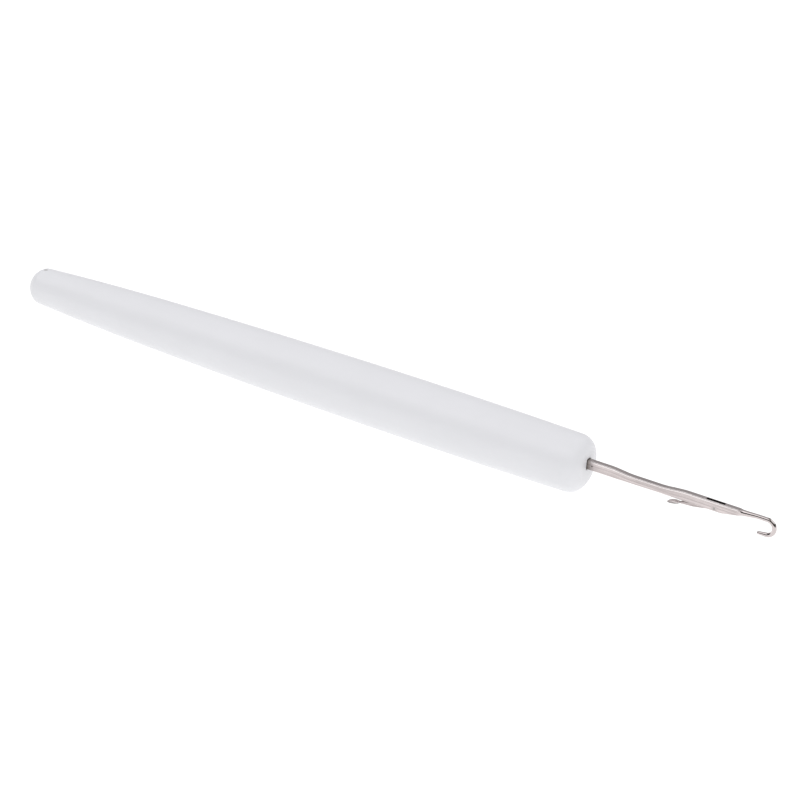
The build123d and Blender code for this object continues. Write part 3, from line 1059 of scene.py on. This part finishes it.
    @property
    def bend_centre(self) -> Array:
        """Middle of the hook's bend, along and up."""
        return np.array([self.nose + self.bend_place, self.middle + self.wire_height - self.bend_radius])

    def over_flat(self, grid: Array) -> Array:
        """Measures how far points stand out beyond the plane of the shoulder's flat."""
        away = grid[:, :, ::2] - self.bend_centre
        out = away[:, :, 0] * cos(radians(self.flat_angle)) + away[:, :, 1] * sin(radians(self.flat_angle))
        return out - (self.bend_radius + self.wire_radius - self.flat_depth)

    def drawn_sections(self, first: Array, last: Array) -> Array:
        """Draws the blank down to the wire.

        The half sizes and the middle of the section run straight from the first section to the last. Its
        form, measured in half sizes, turns from the blank's to the wire's early on the way. Only the
        height of the back turns more slowly, so that its flat runs out to a point.

        Args:
            first: the blank's last section.
            last: the wire's first section.

        Returns:
            The sections between them.
        """
        share = np.linspace(0.0, 1.0, 25)[1:-1, None, None]
        size, middle, form = [], [], []
        for section in (first, last):
            low, high = section.min(axis=0), section.max(axis=0)
            half = np.array([1.0, high[1], (high[2] - low[2]) / 2.0])
            centre = np.array([section[0, 0], 0.0, (high[2] + low[2]) / 2.0])
            size.append(half)
            middle.append(centre)
            form.append((section - centre) / half)
        ends = np.full((first.shape[0], 3), self.drawn_share)
        ends[:len(self.back_shares), 2] = self.back_shares
        rounding = smooth_step(share / ends, 0.0, 1.0)
        shape = form[0] * (1.0 - rounding) + form[1] * rounding
        half = size[0] * (1.0 - share) + size[1] * share
        return shape * half + middle[0] * (1.0 - share) + middle[1] * share

    def half(self, shell: Shell, side: int) -> None:
        """Adds the half of the needle on one side of its middle plane.

        Args:
            shell: the shell that takes it.
            side: 1 for the far half, -1 for the near one, which has the pit.
        """
        mirror = np.array([1.0, float(side), 1.0])
        along = self.stations()
        back, belly = self.back_height(along), self.belly_height(along)
        section = self.half_section(back, belly, self.rounding * smooth_step(along, *self.ease_rise))
        blank = as_points((self.nose + along)[:, None], section[:, :, 0], section[:, :, 1])
        middle, half_depth = (back[-1] + belly[-1]) / 2.0, (back[-1] - belly[-1]) / 2.0
        turn = np.arctan2(section[-1, :, 0] / self.half_thickness, (section[-1, :, 1] - middle) / half_depth)
        wire = self.wire_rings(turn)
        grid = np.concatenate([blank, self.drawn_sections(blank[-1], wire[0]), wire])
        slot = tuple(nearest(along, place) for place in self.slot_ends())
        opening = tuple(nearest(along, self.rivet_place + way * self.break_half()) for way in (-1, 1))
        foot = slice(*(nearest(along, place - self.tang_length) for place in self.foot_span))
        window = nearest(along, self.rivet_place - self.window_half)
        hole_patch = (window, self.flank + self.flank_row, self.window_cells)
        pit_patch = (nearest(along, self.pit_place - self.pit_half), self.flank + self.pit_row,
                     self.pit_cells)
        keep = np.ones((grid.shape[0] - 1, grid.shape[1] - 1), bool)
        keep[slice(*opening), :self.slot_edge] = False
        keep[slice(*slot), -self.slot_edge:] = False
        keep[foot, :self.flank] = False
        keep[patch(*hole_patch)] = False
        if side < 0:
            keep[patch(*pit_patch)] = False
        shell.add(grid * mirror, keep=keep, lay=lay_of(grid), **self.finish_masks(grid, along))
        self.add_slot(shell, mirror, along, back, belly, slot, opening, window)
        self.add_hole(shell, mirror, blank[patch(*hole_patch, more=1)])
        if side < 0:
            self.add_pit(shell, mirror, blank[patch(*pit_patch, more=1)])
        self.add_foot(shell, mirror, blank[foot.start:foot.stop + 1, :self.flank + 1])
        # The tang's end, hidden in the socket, is painted fully dark as shade.
        shell.add(np.stack([blank[0], blank[0] * TO_MIDDLE_PLANE]) * mirror, stain=1.0)

    def finish_masks(self, grid: Array, along: Array) -> dict[str, Array]:
        """Works out the needle's wear, painted highlight, painted shade and polish.

        The eased edges are worn light, in part as painted highlight, and the flank's top rows and the
        shoulder's flat take that tone as painted highlight. Painted shade darkens the root, and painted dark
        reflection lines run round the flat and along the flank. The drawn part and the hook are polished.

        Args:
            grid: the points of the blank, the drawn part and the wire.
            along: the blank's stations.

        Returns:
            The masks by the names that a shell takes them under.
        """
        last, belly_end = grid.shape[1] - 1, grid.shape[1] - self.slot_edge - 2
        flank_end = self.flank + len(self.flank_shares) - 1
        rub = np.zeros(last + 1)
        # Wear on the eased edges, strongest along the back's edge, where it also paints the highlight line.
        rub[self.slot_edge + 2:self.flank + 1] = np.sin(np.linspace(0.0, pi, self.flank - self.slot_edge - 1))
        rub[flank_end:belly_end] = self.belly_rub * np.sin(np.linspace(0.0, pi, belly_end - flank_end))
        # Painted highlight: the flank's top rows take the light worn tone.
        rub[self.flank:self.flank + len(self.flank_highlight)] = self.flank_highlight
        wear_and_highlight = np.zeros(grid.shape[:2])
        wear_and_highlight[:len(along)] = rub * (along > 0.0)[:, None]
        over = self.over_flat(grid)
        on_flat = over > -FLAT_TOLERANCE
        # Painted dark reflection line round the shoulder's flat.
        dark = self.line_shade * np.where(on_flat, 0.0, np.exp(-(over / self.flat_line) ** 2))
        # Painted dark reflection lines along the flank.
        for row, shade in self.flank_reflection_lines:
            dark[:len(along), self.flank + row] += shade
        # Painted shade at the root, where the needle enters the handle.
        from_nose = np.clip(grid[:, :, 0] - self.nose, 0.0, None)
        root = self.root_shade * np.exp(-(from_nose / self.root_fade) ** 2)
        low, high = (self.nose + self.taper[0] + reach for reach in self.polish_rise)
        # The shoulder's flat takes the light worn tone as painted highlight.
        return {"edge": np.where(on_flat, 1.0, wear_and_highlight), "stain": np.maximum(root, dark),
                "polish": smooth_step(grid[:, :, 0], low, high)}

    def add_slot(self, shell: Shell, mirror: Array, along: Array, back: Array, belly: Array,
                 slot: tuple[int, int], opening: tuple[int, int], window: int) -> None:
        """Adds the slot's roof, its wall with the window round the rivet's hole, and the ring in that window.

        Args:
            shell: the shell that takes them.
            mirror: the side's signs.
            along: the stations.
            back: height of the back at each.
            belly: height of the belly at each.
            slot: first and last station of the slot.
            opening: first and last station of the opening in the back.
            window: first station of the window round the rivet's hole.
        """
        top = np.minimum(self.roof_height(along), back)
        top[list(slot)] = belly[list(slot)]
        top[list(opening)] = back[list(opening)]
        across = np.linspace(0.0, 1.0, 4) * self.slot_half
        x = (self.nose + along)[:, None]
        # The slot's roof, wall and the ring round the rivet's hole are cut faces, painted near-black as
        # shade.
        for low, high in ((slot[0], opening[0]), (opening[1], slot[1])):
            roof = as_points(x[low:high + 1], across, top[low:high + 1, None])
            shell.add(roof * mirror, cut=1.0)
        span = slice(slot[0], slot[1] + 1)
        rows = np.array(self.wall_shares)[None, :]
        height = top[span, None] * (1.0 - rows) + belly[span, None] * rows
        wall = as_points(x[span], self.slot_half, height)
        keep = np.ones((wall.shape[0] - 1, wall.shape[1] - 1), bool)
        hole_patch = (window - slot[0], self.wall_row, self.window_cells)
        keep[patch(*hole_patch)] = False
        shell.add(wall * mirror, keep=keep, cut=1.0)
        shell.add(self.rivet_rings(wall[patch(*hole_patch, more=1)]) * mirror, cut=1.0)

    def rivet_rings(self, lattice: Array) -> Array:
        """Fills a window with rings to the rivet's hole, evenly spaced round it in the outline's order."""
        count = 2 * sum(self.window_cells)
        turn = 1.5 * QUARTER_TURN - FULL_TURN * np.arange(count) / count
        return ring_to_hole(lattice, self.rivet_middle, self.rivet_hole, turn, HOLE_SHARES)

    def add_hole(self, shell: Shell, mirror: Array, lattice: Array) -> None:
        """Adds the ring in the flank round the rivet's hole, and the hole's wall through the cheek."""
        rings = self.rivet_rings(lattice)
        share = HOLE_SHARES[:, None]
        # The ring is worn at the hole's edge and darkens towards the hole as painted shade.
        shell.add(rings * mirror, edge=share**3, stain=self.hole_shade * share**2,
                  lay=rings[:, :, [0, 2, 2]])
        depth = np.linspace(0.0, 1.0, 4)[:, None, None]
        inner = rings[-1] * TO_MIDDLE_PLANE + np.array([0.0, self.slot_half, 0.0])
        # The hole's wall is a cut face, painted near-black as shade.
        shell.add((rings[-1] * (1.0 - depth) + inner * depth) * mirror, cut=1.0)

    def add_pit(self, shell: Shell, mirror: Array, lattice: Array) -> None:
        """Adds the locating pit, a shallow bowl cut by a ball, and the ring round it in the flank."""
        middle = np.array([self.nose + self.pit_place, self.middle])
        lift = self.pit_radius - self.pit_depth
        radius = sqrt(self.pit_radius**2 - lift**2)
        turn = turns_about(lattice, middle)
        # The ring round the pit carries painted shade.
        shell.add(ring_to_hole(lattice, middle, radius, turn, HOLE_SHARES) * mirror, stain=self.pit_shade)
        share = np.linspace(1.0, 0.0, 7)[:, None]
        turn = np.append(turn, turn[0])[None, :]
        depth = np.sqrt(self.pit_radius**2 - (radius * share) ** 2) - lift
        bowl = as_points(middle[0] + radius * share * np.cos(turn), self.half_thickness - depth,
                         middle[1] + radius * share * np.sin(turn))
        # The bowl is painted fully dark as shade, with part of the cut faces' near-black tone.
        shell.add(bowl * mirror, stain=1.0, cut=self.pit_cut)

    def add_foot(self, shell: Shell, mirror: Array, base: Array) -> None:
        """Adds the tang's foot, four walls and a top that rise straight from the back edge."""
        lift = np.linspace(0.0, 1.0, 5)[:, None, None] * np.array([0.0, 0.0, self.foot_rise])
        # The foot, hidden in the socket, is painted fully dark as shade.
        for wall in (base[0] + lift, base[-1] + lift, base + lift[-1], base[:, -1] + lift):
            shell.add(wall * mirror, stain=1.0)

    def build(self, material: bpy.types.Material) -> bpy.types.Object:
        """Builds both halves as one closed shell and dresses it.

        Args:
            material: the steel.

        Returns:
            The needle.
        """
        shell = Shell("latch_needle")
        self.half(shell, 1)
        self.half(shell, -1)
        needle = shell.weld(self.crease)
        level_normals(needle)
        stand_for(needle, material, "needle", Body.TOOL)
        return needle


@dataclass(frozen=True)
class Latch:
    """Swinging latch: pivot eye, flat tapering arm, and the spoon's cup that closes over the hook's tip.

    A half section counts its places from the outer edge's middle. The flat side begins at side_first, and
    corner_columns are the two eased places before it and the two behind it. The rim's painted shade ends
    where the cup's hollow begins, and the rest of the cup takes the light worn tone as painted highlight.
    """

    needle: Needle
    half_thickness: float = 0.25
    eye_radius: float = 0.56
    pivot_hole: float = 0.27
    hole_shares: tuple[float, ...] = (0.0, 0.45, 0.8, 1.0)
    # Painted shade round the pivot hole.
    hole_shade: float = 0.3
    window_half: float = 0.36
    window_cells: tuple[int, int] = (6, 8)
    near_end: float = 1.2
    arm_half: float = 0.42
    arm_full_end: float = 4.2
    neck_end: float = 6.6
    neck_inner: float = 0.16
    neck_outer: float = 0.22
    rounding: float = 0.08
    stop_gap: float = 0.09
    cup_place: float = 7.84
    cup_half_length: float = 1.35
    cup_half_width: float = 0.75
    cup_depth: float = 0.45
    cup_rim: float = 0.1
    cup_wall: float = 0.18
    cup_start: float = 6.46
    cup_blend: tuple[float, float] = (6.45, 7.05)
    rim_blend: tuple[float, float] = (6.6, 6.9)
    # Strength of the painted shade on the cup's rim, and its rise across the rim's places.
    rim_shade: float = 1.0
    rim_shade_profile: tuple[float, ...] = (0.3, 0.7, 1.0, 1.0, 1.0, 1.0, 1.0, 1.0)
    side_first: int = 11
    corner_columns: tuple[int, ...] = (9, 10, 22, 23)
    side_shares: tuple[float, ...] = (0.0, 0.06, 0.16, 0.27, 0.38, 0.5, 0.62, 0.73, 0.84, 0.94)
    rim_cells: int = 4
    hollow_cells: int = 8
    station_gap: float = 0.004
    crease: float = 34.0

    def rest_turn(self) -> float:
        """Angle below the handle's line at which the open latch stops against the slot's corner."""
        drop = self.needle.cheek_belly - self.needle.rivet_drop
        rise = self.needle.rivet_height - drop - self.needle.saw_height
        back = sqrt(self.needle.saw_radius**2 - rise**2)
        slope = atan((self.arm_half - self.neck_outer) / self.neck_end)
        stop = asin((self.arm_half + self.stop_gap) * cos(slope) / hypot(back, drop)) - slope
        return atan2(drop, back) + stop

    def stations(self) -> Array:
        """Places the sections along the arm, closer round the eye, the neck and the cup."""
        eye = -self.eye_radius * np.cos(np.linspace(0.0, QUARTER_TURN, 9))
        cup = self.cup_place + self.cup_half_length * np.sin(np.linspace(-QUARTER_TURN, QUARTER_TURN, 48))
        half = self.window_half
        even = runs((-half, half, self.window_cells[0] + 1), (half, self.near_end, 8),
                    (self.near_end, self.arm_full_end, 12), (self.arm_full_end, self.cup_start, 14))
        along = np.concatenate([eye[eye < -half], even, cup[cup > self.cup_start]])
        along = np.unique(np.round(along, 5))
        return along[np.diff(along, append=inf) >= self.station_gap]

    def arm_edges(self, along: Array) -> tuple[Array, Array]:
        """Reaches of the arm's inner and outer edges, the greater of the eye's circle and the straight."""
        circle = np.sqrt(np.clip(self.eye_radius**2 - along**2, 0.0, None))
        places = (0.0, self.arm_full_end, self.neck_end)
        inner = np.interp(along, places, (self.arm_half, self.arm_half, self.neck_inner)) * (along > 0.0)
        outer = np.interp(along, (0.0, self.neck_end), (self.arm_half, self.neck_outer)) * (along > 0.0)
        return np.maximum(circle, inner), np.maximum(circle, outer)

    def arm_sections(self, along: Array) -> Array:
        """Draws half of each arm section, from the outer edge's middle over the side to the inner's.

        Both edges are eased by sine and cosine, and the eased corner is drawn in towards the arm at the eye's
        end as well, so that the flat side keeps the same margin all round.

        Args:
            along: the stations.

        Returns:
            Points along, across and towards the hook's side.
        """
        inner, outer = self.arm_edges(along)
        ease = self.rounding
        turn = np.linspace(0.0, QUARTER_TURN, 4)[:-1]
        wall = np.linspace(0.0, self.half_thickness - ease, 9)[:-1]
        far_wall = np.linspace(self.half_thickness - ease, 0.0, 9)[1:]
        rows = np.array(self.side_shares)
        corner_y = self.half_thickness - ease + ease * np.sin(turn)
        corner_in = ease * (1.0 - np.cos(turn))
        across = np.concatenate([wall, corner_y, np.full(len(rows) + 1, self.half_thickness), corner_y[::-1],
                                 far_wall])
        inset = np.concatenate([0.0 * wall, corner_in, np.full(len(rows) + 1, ease), corner_in[::-1],
                                0.0 * far_wall])
        before = len(wall) + len(turn)
        share = np.concatenate([np.zeros(before), rows, np.ones(len(across) - before - len(rows))])
        shrink = 1.0 - inset / self.eye_radius
        low = -(outer[:, None] - inset)
        high = inner[:, None] - inset
        at_eye = along < 0.0
        low[at_eye] = -outer[at_eye, None] * shrink
        high[at_eye] = inner[at_eye, None] * shrink
        height = low * (1.0 - share) + high * share
        x = np.where(along[:, None] < 0.0, along[:, None] * shrink, along[:, None])
        return as_points(x, across, height)

    def cup_sections(self, along: Array, count: int) -> Array:
        """Draws half of each section of the cup, from under its middle over the rim to the hollow's middle.

        Outside and hollow are parts of two spheroids about one point above the rim. At each station both
        are circles, and the rim's plane cuts them off.

        Args:
            along: the stations.
            count: how many places a section has.

        Returns:
            Points along, across and towards the hook's side.
        """
        ball = (self.cup_half_width**2 + self.cup_depth**2) / (2.0 * self.cup_depth)
        drop = ball - self.cup_depth
        reach = self.cup_half_length * ball / self.cup_half_width
        centre = self.cup_rim + drop
        gap = np.clip((along - self.cup_place) / self.cup_half_length, -1.0, 1.0) * self.cup_half_length
        outside = ball * np.sqrt(1.0 - (gap / reach) ** 2)[:, None]
        hollow = ((ball - self.cup_wall)
                  * np.sqrt(np.clip(1.0 - (gap / (reach - self.cup_wall)) ** 2, 0.0, None)))[:, None]
        under = np.linspace(0.0, 1.0, count - self.rim_cells - self.hollow_cells)
        lean = np.arccos(np.clip(drop / outside, -1.0, 1.0)) * under
        under_y, under_v = outside * np.sin(lean), centre - outside * np.cos(lean)
        edge = np.sqrt(np.clip(hollow**2 - drop**2, 0.0, None))
        inward = np.linspace(1.0, 0.0, self.hollow_cells + 1)
        hollow_y = edge * inward
        hollow_v = np.where(edge > 0.0, centre - np.sqrt(np.clip(hollow**2 - hollow_y**2, drop**2, None)),
                            self.cup_rim)
        step = np.linspace(0.0, 1.0, self.rim_cells + 1)[1:-1]
        rim_y = under_y[:, -1:] * (1.0 - step) + edge * step
        rim_v = np.full_like(rim_y, self.cup_rim)
        across = np.concatenate([under_y, rim_y, hollow_y], axis=1)
        height = np.concatenate([under_v, rim_v, hollow_v], axis=1)
        return as_points(along[:, None], across, height)

    def placed(self, grid: Array, side: int) -> Array:
        """Carries points from the arm's own directions to their place at rest.

        Along runs from the rivet towards the handle and down by the rest angle, and the hook's side faces
        down and forward.
        """
        turn = self.rest_turn()
        rivet = self.needle.rivet_middle
        x = rivet[0] - grid[..., 0] * cos(turn) + grid[..., 2] * sin(turn)
        z = rivet[1] - grid[..., 0] * sin(turn) - grid[..., 2] * cos(turn)
        return as_points(x, side * grid[..., 1], z)

    def build(self, material: bpy.types.Material) -> bpy.types.Object:
        """Builds the latch as one closed shell and dresses it.

        Args:
            material: the steel.

        Returns:
            The latch.
        """
        shell = Shell("swinging_latch")
        along = self.stations()
        arm = self.arm_sections(along)
        cup = self.cup_sections(along, arm.shape[1])
        blend = smooth_step(along, *self.cup_blend)[:, None, None]
        grid = arm * (1.0 - blend) + cup * blend
        hole_patch = (nearest(along, -self.window_half), self.side_first + 1, self.window_cells)
        keep = np.ones((grid.shape[0] - 1, grid.shape[1] - 1), bool)
        keep[patch(*hole_patch)] = False
        lattice = grid[patch(*hole_patch, more=1)]
        pivot, shares = np.zeros(2), np.array(self.hole_shares)
        rings = ring_to_hole(lattice, pivot, self.pivot_hole, turns_about(lattice, pivot), shares)
        depth = np.linspace(1.0, 0.0, 4)[:, None, None] * np.array([0.0, 1.0, 0.0])
        bore = rings[-1] * (TO_MIDDLE_PLANE + depth)
        lay = lay_of(grid)
        # Painted shade on the cup's rim; painted highlight on the rest of the cup; wear on the arm's corners.
        rim = np.zeros(grid.shape[1])
        rim[-self.hollow_cells - len(self.rim_shade_profile):-self.hollow_cells] = self.rim_shade_profile
        in_cup = smooth_step(along, *self.rim_blend)[:, None]
        on_corner = np.isin(np.arange(grid.shape[1]), self.corner_columns)
        wear_and_highlight = (1.0 - blend[:, :, 0]) * on_corner + in_cup * (1.0 - rim)
        dark = self.rim_shade * in_cup * rim
        # The ring round the pivot hole carries painted shade, and the bore is a cut face, painted near-black
        # as shade.
        for side in (1, -1):
            shell.add(self.placed(grid, side), keep=keep, edge=wear_and_highlight, stain=dark, lay=lay)
            shell.add(self.placed(rings, side), stain=self.hole_shade)
            shell.add(self.placed(bore, side), cut=1.0)
        latch = shell.weld(self.crease)
        level_normals(latch)
        stand_for(latch, material, "latch", Body.LATCH)
        return latch


@dataclass(frozen=True)
class Rivet:
    """Pin through both cheeks and the latch's eye, flush with the flanks and dished where it was punched."""

    needle: Needle
    radius: float = 0.24
    half_length: float = 0.55
    dish_radius: float = 0.16
    dish_depth: float = 0.06
    ease: float = 0.025
    # Painted shade in the dish, strongest at its middle, over an even darkening of the whole pin.
    shades: tuple[float, float] = (0.35, 0.2)
    turns: int = 48
    crease: float = 40.0

    def build(self, material: bpy.types.Material) -> bpy.types.Object:
        """Turns the pin's outline about its own line, which runs across the needle.

        The dish is the cap of a ball, the rim is a narrow flat, and the rim's outer edge is eased by sine
        and cosine. The wall joins the two ends.

        Args:
            material: the steel.

        Returns:
            The rivet.
        """
        ball = (self.dish_radius**2 + self.dish_depth**2) / (2.0 * self.dish_depth)
        dish = np.linspace(0.0, self.dish_radius, 8)
        dish_drop = np.sqrt(ball**2 - dish**2) - (ball - self.dish_depth)
        turn = np.linspace(0.0, QUARTER_TURN, 5)
        corner = self.radius - self.ease + self.ease * np.sin(turn)
        corner_drop = self.ease * (1.0 - np.cos(turn))
        reach = np.concatenate([dish, corner])
        across = self.half_length - np.concatenate([dish_drop, corner_drop])
        reach = np.concatenate([reach, reach[::-1]])[:, None]
        across = np.concatenate([across, -across[::-1]])[:, None]
        about = np.linspace(0.0, FULL_TURN, self.turns, endpoint=False)[None, :]
        middle = self.needle.rivet_middle
        grid = as_points(middle[0] + reach * np.cos(about), across, middle[1] + reach * np.sin(about))
        rim = np.concatenate([np.zeros(len(dish) - 1), np.ones(len(corner) + 1)])
        # Painted shade, strongest in the dish's middle.
        dark = np.concatenate([np.linspace(*self.shades, len(dish)), np.full(len(corner), self.shades[1])])
        shell = Shell("latch_pin")
        shell.add(grid, wrap=True, edge=np.concatenate([rim, rim[::-1]])[:, None],
                  stain=np.concatenate([dark, dark[::-1]])[:, None])
        rivet = shell.weld(self.crease)
        stand_for(rivet, material, "latch_rivet", Body.TOOL)
        return rivet


@dataclass(frozen=True)
class Sky:
    """Soft light that rises with the height of its direction, apart for the front and for behind the tool."""

    front_dark: float
    back_bright: float
    back_dark: float = 0.45
    canopy: float = 1.45
    zenith: float = 0.85
    front_rise: tuple[float, float] = (0.35, 0.55)
    back_rise: tuple[float, float] = (0.30, 0.95)
    zenith_rise: tuple[float, float] = (0.7, 1.0)
    turn_back: tuple[float, float] = (-0.25, 0.25)
    hook_end: float = 0.0
    hook_rise: tuple[float, float] = (0.3, 1.0)

    def strength(self, bench: Bench, way: bpy.types.Node) -> bpy.types.NodeSocket:
        """Works out the light from a direction.

        Args:
            bench: the world's tree.
            way: the direction, taken apart.

        Returns:
            The strength of the light.
        """
        height = way.outputs["Z"]
        behind = bench.rise(way.outputs["Y"], *self.turn_back)
        over = bench.rise(height, *self.zenith_rise)
        front = bench.blend(bench.rise(height, *self.front_rise), self.front_dark,
                            bench.blend(over, self.canopy, self.zenith))
        back = bench.blend(bench.rise(height, *self.back_rise), self.back_dark,
                           bench.blend(over, self.back_bright, min(self.zenith, self.back_bright)))
        side = bench.sum("MULTIPLY", bench.rise(way.outputs["X"], *self.hook_rise), self.hook_end)
        return bench.sum("ADD", bench.blend(behind, front, back), side)


@dataclass(frozen=True)
class Studio:
    """Pale floor, soft light all round and the camera at the photograph's angle."""

    floor_height: float = -5.62
    floor_half: float = 4000.0
    floor_glow: float = 1.1
    floor_colour: tuple[float, ...] = (0.10, 0.10, 0.10, 1.0)
    light_colour: tuple[float, ...] = (0.995, 0.99, 1.0, 1.0)
    backdrop: float = 1.1
    soft_sky: Sky = Sky(front_dark=0.21, back_bright=1.45, hook_end=0.2)
    mirror_sky: Sky = Sky(front_dark=0.03, back_bright=0.58, front_rise=(0.54, 0.75))
    glint_way: tuple[float, float, float] = (0.277, 0.782, 0.558)
    glint_rise: tuple[float, float] = (0.95, 0.98)
    glint: float = 0.9
    box_way: tuple[float, float, float] = (-0.43, -0.44, 0.77)
    box_aim: tuple[float, float, float] = (140.0, 0.0, 0.0)
    box_distance: float = 900.0
    box_size: float = 480.0
    box_power: float = 0.3
    target: tuple[float, float, float] = (81.64, 0.0, 0.0)
    side_angle: float = 25.5
    down_angle: float = 30.0
    roll: float = 4.443
    distance: float = 562.0
    lift: float = 0.82
    lens: float = 140.42
    sensor: float = 36.0
    near_clip: float = 10.0

    def add_floor(self) -> None:
        """Lays the pale floor just under the handle. It can't be seen from below."""
        half = self.floor_half
        square = [(-half, -half), (half, -half), (half, half), (-half, half)]
        corners = np.array([(along, across, self.floor_height) for along, across in square])
        mesh = bpy.data.meshes.new("studio_floor")
        mesh.from_pydata(corners * MILLIMETRE, [], [(0, 1, 2, 3)])
        material = bpy.data.materials.new("pale floor")
        bench = open_tree(material)
        shader = bench.add("ShaderNodeBsdfPrincipled", {
            "Base Color": self.floor_colour, "Roughness": 1.0, "Specular IOR Level": 0.0,
            "Emission Color": (1.0, 1.0, 1.0, 1.0), "Emission Strength": self.floor_glow})
        clear = bench.add("ShaderNodeBsdfTransparent")
        below = bench.add("ShaderNodeNewGeometry").outputs["Backfacing"]
        bench.end(bench.add("ShaderNodeMixShader", {0: below, 1: shader.outputs[0], 2: clear.outputs[0]}))
        mesh.materials.append(material)
        floor = bpy.data.objects.new("studio_floor", mesh)
        bpy.context.scene.collection.objects.link(floor)

    def add_sky(self) -> None:
        """Lights the studio softly from a bright canopy over a dark low side, and shows a white backdrop.

        The shading takes the soft sky. Reflections take the mirror sky, in which flags keep the back and the
        low front darker and one small box behind the hook lights its shoulder. The camera itself sees plain
        white.
        """
        world = bpy.data.worlds.new("studio light")
        bpy.context.scene.world = world
        bench = open_tree(world)
        turned = bench.add("ShaderNodeTexCoord").outputs["Generated"]
        way = bench.add("ShaderNodeSeparateXYZ", {0: turned})
        path = bench.add("ShaderNodeLightPath")
        facing = bench.vector("DOT_PRODUCT", {0: turned, 1: self.glint_way}, "Value")
        mirrored = bench.blend(bench.rise(facing, *self.glint_rise), self.mirror_sky.strength(bench, way),
                               self.glint)
        strength = bench.blend(path.outputs["Is Glossy Ray"], self.soft_sky.strength(bench, way), mirrored)
        strength = bench.blend(path.outputs["Is Camera Ray"], strength, self.backdrop)
        glow = bench.add("ShaderNodeBackground", {"Color": self.light_colour, "Strength": strength})
        bench.end(glow, "ShaderNodeOutputWorld")

    def add_softbox(self) -> None:
        """Hangs one soft box over the front, which draws the light line along the needle's eased edge."""
        lamp = bpy.data.lights.new("softbox", "AREA")
        lamp.shape = "SQUARE"
        lamp.size = self.box_size * MILLIMETRE
        lamp.energy = self.box_power
        box = bpy.data.objects.new("softbox", lamp)
        way = np.array(self.box_way) / np.linalg.norm(self.box_way)
        box.location = (np.array(self.box_aim) + way * self.box_distance) * MILLIMETRE
        box.rotation_mode = "QUATERNION"
        box.rotation_quaternion = Vector(way).to_track_quat("Z", "Y")
        bpy.context.scene.collection.objects.link(box)

    def add_camera(self) -> None:
        """Sets the camera where the photograph was taken from.

        It looks back along a direction turned by the side angle and the down angle, rolled so that the
        tool falls to the right.
        """
        side, down, roll = radians(self.side_angle), radians(self.down_angle), radians(self.roll)
        backward = np.array([sin(side), -cos(side) * cos(down), cos(side) * sin(down)])
        level = np.cross([0.0, 0.0, 1.0], backward)
        level = level / np.linalg.norm(level)
        upright = np.cross(backward, level)
        right = level * cos(roll) + upright * sin(roll)
        up = upright * cos(roll) - level * sin(roll)
        place = np.array(self.target) + self.distance * backward + self.lift * up
        data = bpy.data.cameras.new("photograph")
        data.lens = self.lens
        data.sensor_width = self.sensor
        data.sensor_fit = "HORIZONTAL"
        data.clip_start = self.near_clip * MILLIMETRE
        camera = bpy.data.objects.new("photograph", data)
        turn = np.eye(4)
        turn[:3, 0], turn[:3, 1], turn[:3, 2], turn[:3, 3] = right, up, backward, place * MILLIMETRE
        camera.matrix_world = Matrix(turn.tolist())
        bpy.context.scene.collection.objects.link(camera)
        bpy.context.scene.camera = camera

    def build(self) -> None:
        """Sets up the whole studio."""
        self.add_floor()
        self.add_sky()
        self.add_softbox()
        self.add_camera()
        bpy.context.scene.view_settings.view_transform = "Standard"


def main() -> None:
    """Builds the studio and the four pieces in order, and reports each."""
    logging.basicConfig(level=logging.INFO, format="%(name)s: %(message)s")
    Studio().build()
    effects = Effects()
    needle_sizes = Needle()
    pieces = [
        Handle().build(MouldedPlastic().build(effects)),
        needle_sizes.build(DrawnSteel("tumbled needle steel").build(effects)),
        Latch(needle_sizes).build(DrawnSteel("pressed latch steel", roughness=0.55).build(effects)),
        Rivet(needle_sizes).build(DrawnSteel("punched pin steel", colour=(0.5, 0.48, 0.47, 1.0),
                                             shaded=(0.4, 0.38, 0.37, 1.0), roughness=0.36).build(effects)),
    ]
    for piece in pieces:
        log.info("built %s with %s", piece.name, piece.data.materials[0].name)


if __name__ == "__main__":
    main()
